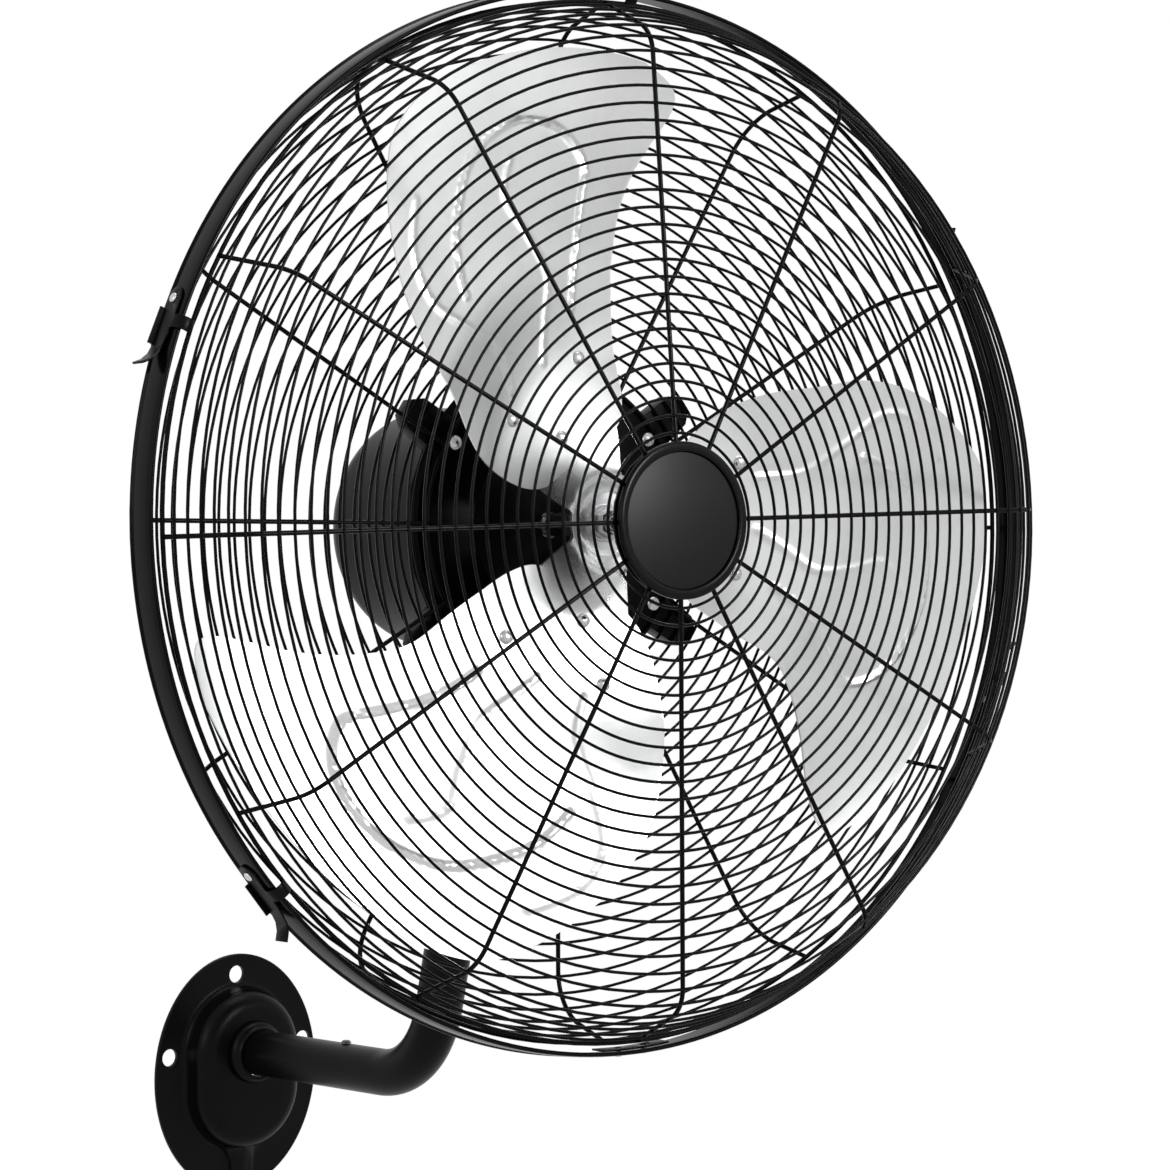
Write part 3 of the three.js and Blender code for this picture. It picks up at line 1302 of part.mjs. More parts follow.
// The motor's bell: a drawn shell with a round rear corner, a bearing housing and the tilt lug.
function motorBell() {
  const shellProfile = (inset) => {
    const radius = BELL_RADIUS - inset;
    const rear = BELL_REAR - inset;
    const corner = BELL_CORNER - inset;
    const round = [0, 30, 60, 90].map((degrees) => {
      const angle = degToRad(degrees);
      return [
        radius - corner * (1 - Math.cos(angle)),
        -rear + corner * (1 - Math.sin(angle)),
      ];
    });
    return [...round, [0, -rear]];
  };
  const mouth = -BELL_FRONT;
  const outer = solid(revolve([[0, mouth], [BELL_RADIUS, mouth], ...shellProfile(0)], BODY_FACETS));
  const wall = BELL_RADIUS - BELL_WALL;
  const inner = solid(revolve([[0, mouth + 1], [wall, mouth + 1], ...shellProfile(BELL_WALL)], BODY_FACETS));
  const housing = hollowDisc(
    BEARING_BORE,
    BEARING_BORE + 4,
    -REAR_BEARING + CLEARANCE,
    -BELL_REAR + BELL_WALL / 2,
    BODY_FACETS / 2,
  );
  const glandHole = standing(bore(GLAND_DIAMETER / 2 + CLEARANCE, 0, -BELL_RADIUS - 5, SMALL_FACETS));
  return cut(
    join(cut(join(outer, tiltLug()), inner), housing),
    glandHole.translate([0, GLAND_BEHIND_BAND, 0]),
    tiltBore().translate([0, PIVOT_BEHIND_BAND, -PIVOT_BELOW_AXIS]),
  );
}

// The lug under the bell that tilts between the yoke's ears.
function tiltLug() {
  const outline = new THREE.Shape();
  outline.absarc(0, 0, LUG_RADIUS, Math.PI, 2 * Math.PI, false);
  outline.lineTo(LUG_RADIUS, LUG_RADIUS);
  outline.lineTo(2 * LUG_RADIUS, PIVOT_BELOW_AXIS - BELL_RADIUS + BELL_WALL / 2);
  outline.lineTo(-2 * LUG_RADIUS, PIVOT_BELOW_AXIS - BELL_RADIUS + BELL_WALL / 2);
  outline.lineTo(-LUG_RADIUS, LUG_RADIUS);
  return extrudedAcross(outline, -LUG_WIDTH / 2, LUG_WIDTH)
    .translate([0, PIVOT_BEHIND_BAND, -PIVOT_BELOW_AXIS]);
}

// The cable's gland under the bell.
function cableGland() {
  const seat = BELL_RADIUS + CLEARANCE;
  const body = GLAND_DIAMETER / 2;
  const gland = ringOf([
    [GLAND_BORE / 2, GLAND_NECK - seat],
    [body, GLAND_NECK - seat],
    [body, -seat],
    [body + 3, -seat],
    [body + 3, -seat - GLAND_FLANGE],
    [body - 1, -seat - GLAND_NOSE],
    [GLAND_BORE / 2, -seat - GLAND_NOSE],
  ], SMALL_FACETS);
  return standing(gland).translate([0, GLAND_BEHIND_BAND, 0]);
}

// ---- Assembly ----------------------------------------------------------------------------------

const fan = new THREE.Group();
fan.add(
  piece('wall_plate', wallPlate(), SATIN_BLACK),
  piece('root_collar', rootCollar(), SATIN_BLACK),
  piece('arm_tube', armTube(), SATIN_BLACK),
  piece('arm_screw', armScrew(), DARK_STEEL),
  piece('neck', neck(), SATIN_BLACK),
  piece('swivel_pin', swivelPin(), DARK_STEEL),
);

const swivel = new THREE.Group();
swivel.position.set(0, -PIVOT_REACH, PIVOT_HEIGHT);
swivel.rotation.z = degToRad(PAN_AT_REST);
swivel.add(
  piece('yoke', yoke(), SATIN_BLACK),
  piece('tilt_bolt', tiltBolt(), BRIGHT_STEEL),
  piece('tilt_nut', tiltNut(), BRIGHT_STEEL),
);
fan.add(swivel);

const tilt = new THREE.Group();
tilt.rotation.x = degToRad(TILT_AT_REST);
swivel.add(tilt);

const head = new THREE.Group();
head.position.set(0, -PIVOT_BEHIND_BAND, PIVOT_BELOW_AXIS);
head.add(
  piece('motor_bell', motorBell(), SATIN_BLACK),
  piece('end_shield', endShield(), SATIN_BLACK),
  piece('stator_core', statorCore(), LAMINATION),
  piece('front_bearing', bearing(FRONT_BEARING), BRIGHT_STEEL),
  piece('rear_bearing', bearing(REAR_BEARING), BRIGHT_STEEL),
  piece('cable_gland', cableGland(), BLACK_RUBBER),
  piece('rear_guard', rearGuard(), GLOSS_BLACK),
  piece('guard_band', guardBand(), GLOSS_BLACK),
  piece('band_strap', bandStrap(), SATIN_BLACK),
  piece('front_guard', frontGuard(), GLOSS_BLACK),
  piece('badge_bezel', badgeBezel(), BLACK_PLASTIC),
  piece('badge_disc', badgeDisc(), BADGE_GREY),
  piece('badge_clamp', badgeClamp(), SATIN_BLACK),
  piece('badge_screw', badgeScrew(), BRIGHT_STEEL),
);
guardScrewPlaces().forEach((place, i) => {
  head.add(piece(`guard_screw_${i + 1}`, guardScrew(place), BRIGHT_STEEL));
});
JOINT_RIVET_AZIMUTHS.forEach((azimuth, i) => {
  const rivet = bandRivet(azimuth, CLEARANCE, JOINT_RIVET_LENGTH);
  head.add(piece(`joint_rivet_${i + 1}`, rivet, BRIGHT_STEEL));
});
tilt.add(head);

const rotor = new THREE.Group();
rotor.add(
  piece('shaft', shaft(), BRIGHT_STEEL),
  piece('rotor_core', rotorCore(), LAMINATION),
  piece('hub_spider', hubSpider(), POLISHED_ALUMINIUM),
  piece('hub_washer', hubWasher(), BRIGHT_STEEL),
  piece('hub_nut', hubNut(), BRIGHT_STEEL),
);
bladeAzimuths().forEach((azimuth, i) => {
  rotor.add(piece(`blade_${i + 1}`, blade(azimuth), ALUMINIUM));
  BLADE_RIVETS.forEach((place, j) => {
    rotor.add(piece(`blade_${i + 1}_rivet_${j + 1}`, bladeRivet(place, azimuth), BRIGHT_STEEL));
  });
});
head.add(rotor);

LATCH_AZIMUTHS.forEach((azimuth, i) => {
  const seat = outward(azimuth).multiplyScalar(BAND_RADIUS).addScaledVector(FORWARD, -BAND_WIDTH / 2);
  const turning = new THREE.Group();
  seatedFrame(seat, outward(azimuth)).decompose(turning.position, turning.quaternion, turning.scale);
  turning.add(piece(`latch_${i + 1}`, latch(), SATIN_BLACK));
  const rivet = bandRivet(azimuth, LATCH_SHEET + 2 * CLEARANCE, LATCH_RIVET_LENGTH);
  head.add(turning, piece(`latch_rivet_${i + 1}`, rivet, BRIGHT_STEEL));
});

export default fan;
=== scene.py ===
"""Wall mounted fan: fine shapes, finishes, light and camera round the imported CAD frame.

The head's pieces are drawn in a face frame, in millimetres: X to the right, Y up and Z forward
along the fan's axis, with the origin in the front edge plane of the band.
"""

import json
import logging
import math
from collections.abc import Iterable, Sequence
from dataclasses import dataclass, field
from enum import Enum

import bmesh
import bpy
import numpy as np
from mathutils import Matrix, Vector


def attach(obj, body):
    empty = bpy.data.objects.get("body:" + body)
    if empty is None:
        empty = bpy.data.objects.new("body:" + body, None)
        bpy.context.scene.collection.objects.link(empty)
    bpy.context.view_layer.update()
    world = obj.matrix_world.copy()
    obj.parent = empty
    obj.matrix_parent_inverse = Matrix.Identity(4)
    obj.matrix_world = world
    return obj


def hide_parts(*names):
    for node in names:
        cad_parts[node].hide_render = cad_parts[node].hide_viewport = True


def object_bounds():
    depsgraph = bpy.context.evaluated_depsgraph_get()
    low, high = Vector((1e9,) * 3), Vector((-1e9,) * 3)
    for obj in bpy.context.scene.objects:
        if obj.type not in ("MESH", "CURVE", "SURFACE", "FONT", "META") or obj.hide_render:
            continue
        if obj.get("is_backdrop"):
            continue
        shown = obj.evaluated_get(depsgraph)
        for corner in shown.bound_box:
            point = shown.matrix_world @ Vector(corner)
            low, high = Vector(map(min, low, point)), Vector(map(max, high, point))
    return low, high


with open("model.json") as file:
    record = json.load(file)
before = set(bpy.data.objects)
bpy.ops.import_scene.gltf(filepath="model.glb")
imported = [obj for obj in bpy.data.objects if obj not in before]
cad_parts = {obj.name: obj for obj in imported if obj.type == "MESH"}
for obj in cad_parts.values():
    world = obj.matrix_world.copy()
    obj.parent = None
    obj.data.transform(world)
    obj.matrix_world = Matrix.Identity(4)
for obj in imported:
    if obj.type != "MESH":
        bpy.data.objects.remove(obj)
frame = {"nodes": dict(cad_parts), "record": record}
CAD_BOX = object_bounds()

logging.basicConfig(level=logging.INFO, format="%(name)s: %(message)s")
LOG = logging.getLogger("fan")

MM = 0.001
BAND_RADIUS = 333.0
LATCH_AZIMUTHS = (26, 84, 155.6, 216.8, 337.5)
SIDE_MARKS = ((1, 1), (-1, 1), (-1, -1), (1, -1))
BODY_OF = {
    node: body
    for body, nodes in frame["record"]["behaviour"]["bodies"].items()
    for node in nodes
}
Point = tuple[float, float, float]
Profile = list[tuple[float, float]]

# The head's place at rest: where the pan and tilt axes cross, and both angles in degrees.
CROSSING = (0, -0.2992, 0.2895)
PAN_AT_REST = -4.7
TILT_AT_REST = -3.2
PIVOT_BELOW_AXIS = 0.098
PIVOT_BEHIND_BAND = 0.148


def head_matrix() -> Matrix:
    """Place of the head's frame at rest, from the pan and tilt axes' crossing."""
    crossing = Matrix.Translation(CROSSING)
    pan = Matrix.Rotation(math.radians(PAN_AT_REST), 4, "Z")
    tilt = Matrix.Rotation(math.radians(TILT_AT_REST), 4, "X")
    return crossing @ pan @ tilt @ Matrix.Translation((0, -PIVOT_BEHIND_BAND, PIVOT_BELOW_AXIS))


HEAD = head_matrix()
UPRIGHT = Matrix(((1, 0, 0, 0), (0, 0, -1, 0), (0, 1, 0, 0), (0, 0, 0, 1)))
FACE = HEAD @ UPRIGHT
WORLD = Matrix.Identity(4)


def outward(azimuth: float) -> Vector:
    """The direction of an azimuth in degrees, square to the fan's axis, in the world frame."""
    angle = math.radians(azimuth)
    return FACE.to_3x3() @ Vector((math.cos(angle), math.sin(angle), 0))


# ---- Shader trees ------------------------------------------------------------------------------


class Value:
    """A shader socket whose arithmetic adds Math nodes to its tree."""

    def __init__(self, tree: "ShaderTree", socket: bpy.types.NodeSocket) -> None:
        """Keeps the tree and the socket."""
        self.tree = tree
        self.socket = socket

    def _math(self, operation: str, first: object, second: object) -> "Value":
        """Adds one Math node.

        Args:
            operation: the Math node's operation.
            first: a number or a Value.
            second: a number or a Value.

        Returns:
            The node's result.
        """
        node = self.tree.node(
            "ShaderNodeMath", {"operation": operation}, {0: first, 1: second}
        )
        return Value(self.tree, node.outputs[0])

    def __add__(self, other: object) -> "Value":
        """Adds a number or a Value."""
        return self._math("ADD", self, other)

    __radd__ = __add__

    def __sub__(self, other: object) -> "Value":
        """Takes away a number or a Value."""
        return self._math("SUBTRACT", self, other)

    def __rsub__(self, other: object) -> "Value":
        """Takes this away from a number."""
        return self._math("SUBTRACT", other, self)

    def __mul__(self, other: object) -> "Value":
        """Multiplies by a number or a Value."""
        return self._math("MULTIPLY", self, other)

    __rmul__ = __mul__

    def wave(self) -> "Value":
        """Takes the sine."""
        return self._math("SINE", self, 0.0)

    def clipped(self) -> "Value":
        """Holds the value between 0 and 1."""
        node = self.tree.node("ShaderNodeClamp", {}, {"Value": self})
        return Value(self.tree, node.outputs[0])


class NodeTree:
    """A tree that nodes are added to."""

    def __init__(self, tree: bpy.types.NodeTree) -> None:
        """Keeps the tree."""
        self.tree = tree

    def node(
        self, kind: str, settings: dict[str, object], inputs: dict[object, object]
    ) -> bpy.types.Node:
        """Adds any node.

        Args:
            kind: the node's type.
            settings: its own settings, set first.
            inputs: values or links by socket name or number.

        Returns:
            The node.
        """
        made = self.tree.nodes.new(kind)
        for name, value in settings.items():
            setattr(made, name, value)
        for key, value in inputs.items():
            given = value.socket if isinstance(value, Value) else value
            if isinstance(given, bpy.types.NodeSocket):
                self.tree.links.new(given, made.inputs[key])
            else:
                made.inputs[key].default_value = given
        return made


class ShaderTree(NodeTree):
    """A node tree of a material or the world."""

    def __init__(self, owner: bpy.types.Material | bpy.types.World) -> None:
        """Empties the owner's tree and keeps it."""
        owner.use_nodes = True
        super().__init__(owner.node_tree)
        self.tree.nodes.clear()

    def noise(self, scale: float, detail: float = 3.0, stretch: Point = (1, 1, 1)) -> Value:
        """A noise value on Object coordinates.

        Args:
            scale: cells in a metre.
            detail: how many octaves.
            stretch: scale along each axis.

        Returns:
            The noise, about 0.5 on average.
        """
        place = self.node("ShaderNodeTexCoord", {}, {}).outputs["Object"]
        mapped = self.node("ShaderNodeMapping", {}, {"Vector": place, "Scale": stretch})
        made = self.node(
            "ShaderNodeTexNoise",
            {},
            {"Vector": mapped.outputs[0], "Scale": scale, "Detail": detail},
        )
        return Value(self, made.outputs[0])


class Texture(Enum):
    """How a finish is worked."""

    POWDER = "powder coat"
    ENAMEL = "smooth coat"
    ROLLED = "rolled sheet"
    TURNED = "turned or plated metal"
    STACKED = "stacked sheets"
    MOULDED = "moulded"


@dataclass(frozen=True)
class Finish:
    """One finish of the record's material slots.

    Attributes:
        slot: the record's slot name.
        colour: base colour, linear.
        metallic: 0 or 1.
        roughness: mean roughness.
        swing: how much roughness changes over the surface.
        tone: how much the colour changes over the surface.
        texture: how it is worked.
        specular: specular level.
    """

    slot: str
    colour: Point
    metallic: float
    roughness: float
    swing: float
    tone: float
    texture: Texture
    specular: float = 0.5

    def height(self, tree: ShaderTree) -> tuple[Value, float]:
        """The small relief of the surface.

        Args:
            tree: the material's tree.

        Returns:
            A height value and its depth in metres.
        """
        if self.texture is Texture.POWDER:
            return tree.noise(900, 2), 0.00005
        if self.texture is Texture.ENAMEL:
            return tree.noise(260, 1), 0.00002
        if self.texture is Texture.ROLLED:
            return tree.noise(60, 3, (1, 1, 18)) + tree.noise(700, 2) * 0.4, 0.000007
        if self.texture is Texture.STACKED:
            place = tree.node("ShaderNodeTexCoord", {}, {}).outputs["Object"]
            depth = tree.node("ShaderNodeSeparateXYZ", {}, {0: place}).outputs[1]
            return (Value(tree, depth) * (2 * math.pi / 0.0012)).wave(), 0.00012
        if self.texture is Texture.MOULDED:
            return tree.noise(1500, 1), 0.00002
        return tree.noise(400, 3, (1, 14, 1)), 0.000004

    def material(self) -> bpy.types.Material:
        """Builds the material.

        Returns:
            The material, named after its slot.
        """
        made = bpy.data.materials.new(self.slot)
        tree = ShaderTree(made)
        clouds = tree.noise(14, 4)
        specks = tree.noise(120, 3)
        share = ((clouds - 0.5) * 1.6 + (specks - 0.5) * 0.7 + 0.5).clipped()
        low = tuple(c * (1 - self.tone) for c in self.colour) + (1.0,)
        high = tuple(min(1.0, c * (1 + self.tone)) for c in self.colour) + (1.0,)
        colour = tree.node(
            "ShaderNodeMix", {"data_type": "RGBA"}, {0: share, 6: low, 7: high}
        ).outputs[2]
        relief, depth = self.height(tree)
        bump = tree.node(
            "ShaderNodeBump", {}, {"Strength": 1.0, "Distance": depth, "Height": relief}
        )
        rough = self.roughness + (tree.noise(34, 5) - 0.5) * (2 * self.swing)
        surface = tree.node(
            "ShaderNodeBsdfPrincipled",
            {},
            {
                "Base Color": colour,
                "Metallic": self.metallic,
                "Roughness": rough.clipped(),
                "Specular IOR Level": self.specular,
                "Normal": bump.outputs[0],
            },
        )
        tree.node("ShaderNodeOutputMaterial", {}, {0: surface.outputs[0]})
        made.diffuse_color = self.colour + (1.0,)
        return made


FINISHES = (
    Finish("satin_black", (0.0016, 0.0016, 0.0018), 0, 0.32, 0.06, 0.35, Texture.POWDER, 0.07),
    Finish("gloss_black", (0.001, 0.001, 0.0012), 0, 0.2, 0.04, 0.3, Texture.ENAMEL, 0.06),
    Finish("dark_steel", (0.09, 0.09, 0.095), 1, 0.42, 0.08, 0.25, Texture.TURNED),
    Finish("bright_steel", (0.56, 0.56, 0.57), 1, 0.24, 0.07, 0.12, Texture.TURNED),
    Finish("lamination", (0.15, 0.155, 0.165), 1, 0.5, 0.08, 0.2, Texture.STACKED),
    Finish("blade_aluminium", (0.72, 0.725, 0.73), 1, 0.3, 0.04, 0.05, Texture.ROLLED),
    Finish("polished_aluminium", (0.7, 0.705, 0.71), 1, 0.27, 0.04, 0.05, Texture.TURNED),
    Finish("rubber", (0.012, 0.012, 0.012), 0, 0.7, 0.06, 0.3, Texture.MOULDED, 0.3),
    Finish("gloss_plastic", (0.0012, 0.0012, 0.0012), 0, 0.18, 0.03, 0.25, Texture.MOULDED, 0.1),
    Finish("badge_face", (0.002, 0.002, 0.0022), 0, 0.3, 0.02, 0.1, Texture.MOULDED, 0.12),
)


# ---- Geometry node trees -----------------------------------------------------------------------


class GeometryTree(NodeTree):
    """A Geometry Nodes tree with named inputs, run once on an object and turned into a mesh."""

    def __init__(self, name: str, inputs: dict[str, tuple[str, object]]) -> None:
        """Makes the tree and its inputs.

        Args:
            name: the tree's name.
            inputs: socket type and default value by input name.
        """
        super().__init__(bpy.data.node_groups.new(name, "GeometryNodeTree"))
        self.items: dict[str, str] = {}
        face = self.tree.interface
        face.new_socket("Geometry", in_out="INPUT", socket_type="NodeSocketGeometry")
        face.new_socket("Geometry", in_out="OUTPUT", socket_type="NodeSocketGeometry")
        for label, (kind, value) in inputs.items():
            item = face.new_socket(label, in_out="INPUT", socket_type=kind)
            if value is not None:
                item.default_value = value
            self.items[label] = item.identifier
        self.given = self.tree.nodes.new("NodeGroupInput").outputs
        self.result = self.tree.nodes.new("NodeGroupOutput").inputs

    def output(
        self,
        kind: str,
        settings: dict[str, object],
        inputs: dict[object, object],
        which: int | str = 0,
    ) -> bpy.types.NodeSocket:
        """Adds any node and returns one of its outputs.

        Args:
            kind: the node's type.
            settings: its own settings, set first.
            inputs: values or links by socket name or number.
            which: the output's name or number.

        Returns:
            The output.
        """
        return self.node(kind, settings, inputs).outputs[which]

    def attribute(self, name: str, kind: str) -> bpy.types.NodeSocket:
        """Reads a named attribute of the points."""
        return self.output("GeometryNodeInputNamedAttribute", {"data_type": kind}, {"Name": name})

    def circle(self, sides: object, radius: object) -> bpy.types.NodeSocket:
        """A round curve about the origin."""
        values = {"Resolution": sides, "Radius": radius}
        return self.output("GeometryNodeCurvePrimitiveCircle", {}, values)

    def swept(
        self, path: bpy.types.NodeSocket, radius: object, caps: bool
    ) -> bpy.types.NodeSocket:
        """Sweeps a round section along a curve.

        Args:
            path: the curve.
            radius: the section's radius.
            caps: whether the ends are closed.

        Returns:
            The bar.
        """
        section = self.circle(self.given["Sides"], radius)
        values = {"Curve": path, "Profile Curve": section, "Fill Caps": caps}
        return self.output("GeometryNodeCurveToMesh", {}, values)

    def finish(self, *parts: bpy.types.NodeSocket) -> None:
        """Joins the parts, realizes them, gives them the material and ends the tree."""
        joined = self.node("GeometryNodeJoinGeometry", {}, {})
        for part in parts:
            self.tree.links.new(part, joined.inputs[0])
        real = self.output("GeometryNodeRealizeInstances", {}, {0: joined.outputs[0]})
        smooth = self.output("GeometryNodeSetShadeSmooth", {}, {0: real})
        values = {0: smooth, "Material": self.given["Material"]}
        self.tree.links.new(self.output("GeometryNodeSetMaterial", {}, values), self.result[0])

    def run(self, source: bpy.types.Object, values: dict[str, object]) -> bpy.types.Mesh:
        """Evaluates the tree on an object.

        Args:
            source: the object that carries the points; it is deleted.
            values: input values by name.

        Returns:
            The plain mesh that comes out.
        """
        modifier = source.modifiers.new("tree", "NODES")
        modifier.node_group = self.tree
        for label, value in values.items():
            modifier[self.items[label]] = value
        graph = bpy.context.evaluated_depsgraph_get()
        made = bpy.data.meshes.new_from_object(source.evaluated_get(graph), depsgraph=graph)
        source.modifiers.clear()
        bpy.data.objects.remove(source)
        return made


def points_object(
    points: Sequence[Point],
    edges: Sequence[tuple[int, int]] = (),
    vectors: dict[str, Sequence[Point]] | None = None,
    numbers: dict[str, Sequence[float]] | None = None,
) -> bpy.types.Object:
    """An object of loose points and edges with attributes, for a tree to work on.

    Args:
        points: places in metres.
        edges: pairs of point numbers.
        vectors: vector attributes by name.
        numbers: number attributes by name.

    Returns:
        The object, linked to the scene.
    """
    mesh = bpy.data.meshes.new("points")
    mesh.from_pydata([tuple(p) for p in points], list(edges), [])
    for name, rows in (vectors or {}).items():
        layer = mesh.attributes.new(name, "FLOAT_VECTOR", "POINT")
        layer.data.foreach_set("vector", np.array(rows, np.float32).ravel())
    for name, row in (numbers or {}).items():
        layer = mesh.attributes.new(name, "FLOAT", "POINT")
        layer.data.foreach_set("value", np.array(row, np.float32))
    made = bpy.data.objects.new("points", mesh)
    bpy.context.scene.collection.objects.link(made)
    return made


def wire_tree() -> GeometryTree:
    """Tree of a wire guard: a ring at each point with a weight, and turned copies of the spoke."""
    tree = GeometryTree(
        "wire_guard",
        {
            "Ring Wire": ("NodeSocketFloat", 0.001),
            "Spoke Wire": ("NodeSocketFloat", 0.0015),
            "Spokes": ("NodeSocketInt", 12),
            "Turn": ("NodeSocketFloat", 0.0),
            "Segments": ("NodeSocketInt", 96),
            "Sides": ("NodeSocketInt", 8),
            "Material": ("NodeSocketMaterial", None),
        },
    )
    given, output = tree.given, tree.output
    reach = tree.attribute("reach", "FLOAT")
    weight = tree.attribute("weight", "FLOAT")
    place = output("GeometryNodeInputPosition", {}, {})
    depth = output("ShaderNodeSeparateXYZ", {}, {0: place}, 2)
    centre = output("ShaderNodeCombineXYZ", {}, {2: depth})
    values = {"Geometry": given["Geometry"], "Position": centre}
    axis_points = output("GeometryNodeSetPosition", {}, values)
    circle = tree.circle(given["Segments"], 1.0)
    size = output("ShaderNodeCombineXYZ", {}, {0: reach, 1: reach, 2: 1.0})
    equal = {"data_type": "FLOAT", "operation": "EQUAL"}
    parts = []
    for wanted, wire in ((1.0, given["Ring Wire"]), (2.0, given["Spoke Wire"])):
        chosen = output("FunctionNodeCompare", equal, {0: weight, 1: wanted})
        values = {"Points": axis_points, "Instance": circle, "Selection": chosen, "Scale": size}
        rings = output("GeometryNodeInstanceOnPoints", {}, values)
        lines = output("GeometryNodeRealizeInstances", {}, {0: rings})
        parts.append(tree.swept(lines, wire, False))
    spoke = output("GeometryNodeMeshToCurve", {}, {"Mesh": given["Geometry"]})
    bar = tree.swept(spoke, given["Spoke Wire"], True)
    values = {"Count": given["Spokes"], "Offset": (0.0, 0.0, 0.0)}
    stand = output("GeometryNodeMeshLine", {}, values)
    number = output("GeometryNodeInputIndex", {}, {})
    step = output("ShaderNodeMath", {"operation": "DIVIDE"}, {0: number, 1: given["Spokes"]})
    values = {0: step, 1: 2 * math.pi, 2: given["Turn"]}
    turn = output("ShaderNodeMath", {"operation": "MULTIPLY_ADD"}, values)
    angles = output("ShaderNodeCombineXYZ", {}, {2: turn})
    values = {"Points": stand, "Instance": bar, "Rotation": angles}
    parts.append(output("GeometryNodeInstanceOnPoints", {}, values))
    tree.finish(*parts)
    return tree


def fastener_tree() -> GeometryTree:
    """Tree that stands one template on each point, its Z axis along the point's own axis."""
    tree = GeometryTree(
        "fasteners",
        {
            "Template": ("NodeSocketObject", None),
            "Size": ("NodeSocketFloat", 1.0),
            "Material": ("NodeSocketMaterial", None),
        },
    )
    given = tree.given
    template = tree.output("GeometryNodeObjectInfo", {}, {0: given["Template"]}, "Geometry")
    axis = tree.attribute("axis", "FLOAT_VECTOR")
    turn = tree.output("FunctionNodeAlignRotationToVector", {"axis": "Z"}, {"Vector": axis})
    values = {
        "Points": given["Geometry"],
        "Instance": template,
        "Rotation": turn,
        "Scale": given["Size"],
    }
    tree.finish(tree.output("GeometryNodeInstanceOnPoints", {}, values))
    return tree


def tube_tree() -> GeometryTree:
    """Tree that sweeps a round bar along the edges it is given."""
    tree = GeometryTree(
        "bent_tube",
        {
            "Radius": ("NodeSocketFloat", 0.016),
            "Sides": ("NodeSocketInt", 48),
            "Material": ("NodeSocketMaterial", None),
        },
    )
    path = tree.output("GeometryNodeMeshToCurve", {}, {"Mesh": tree.given["Geometry"]})
    tree.finish(tree.swept(path, tree.given["Radius"], True))
    return tree


# ---- Workshop ----------------------------------------------------------------------------------


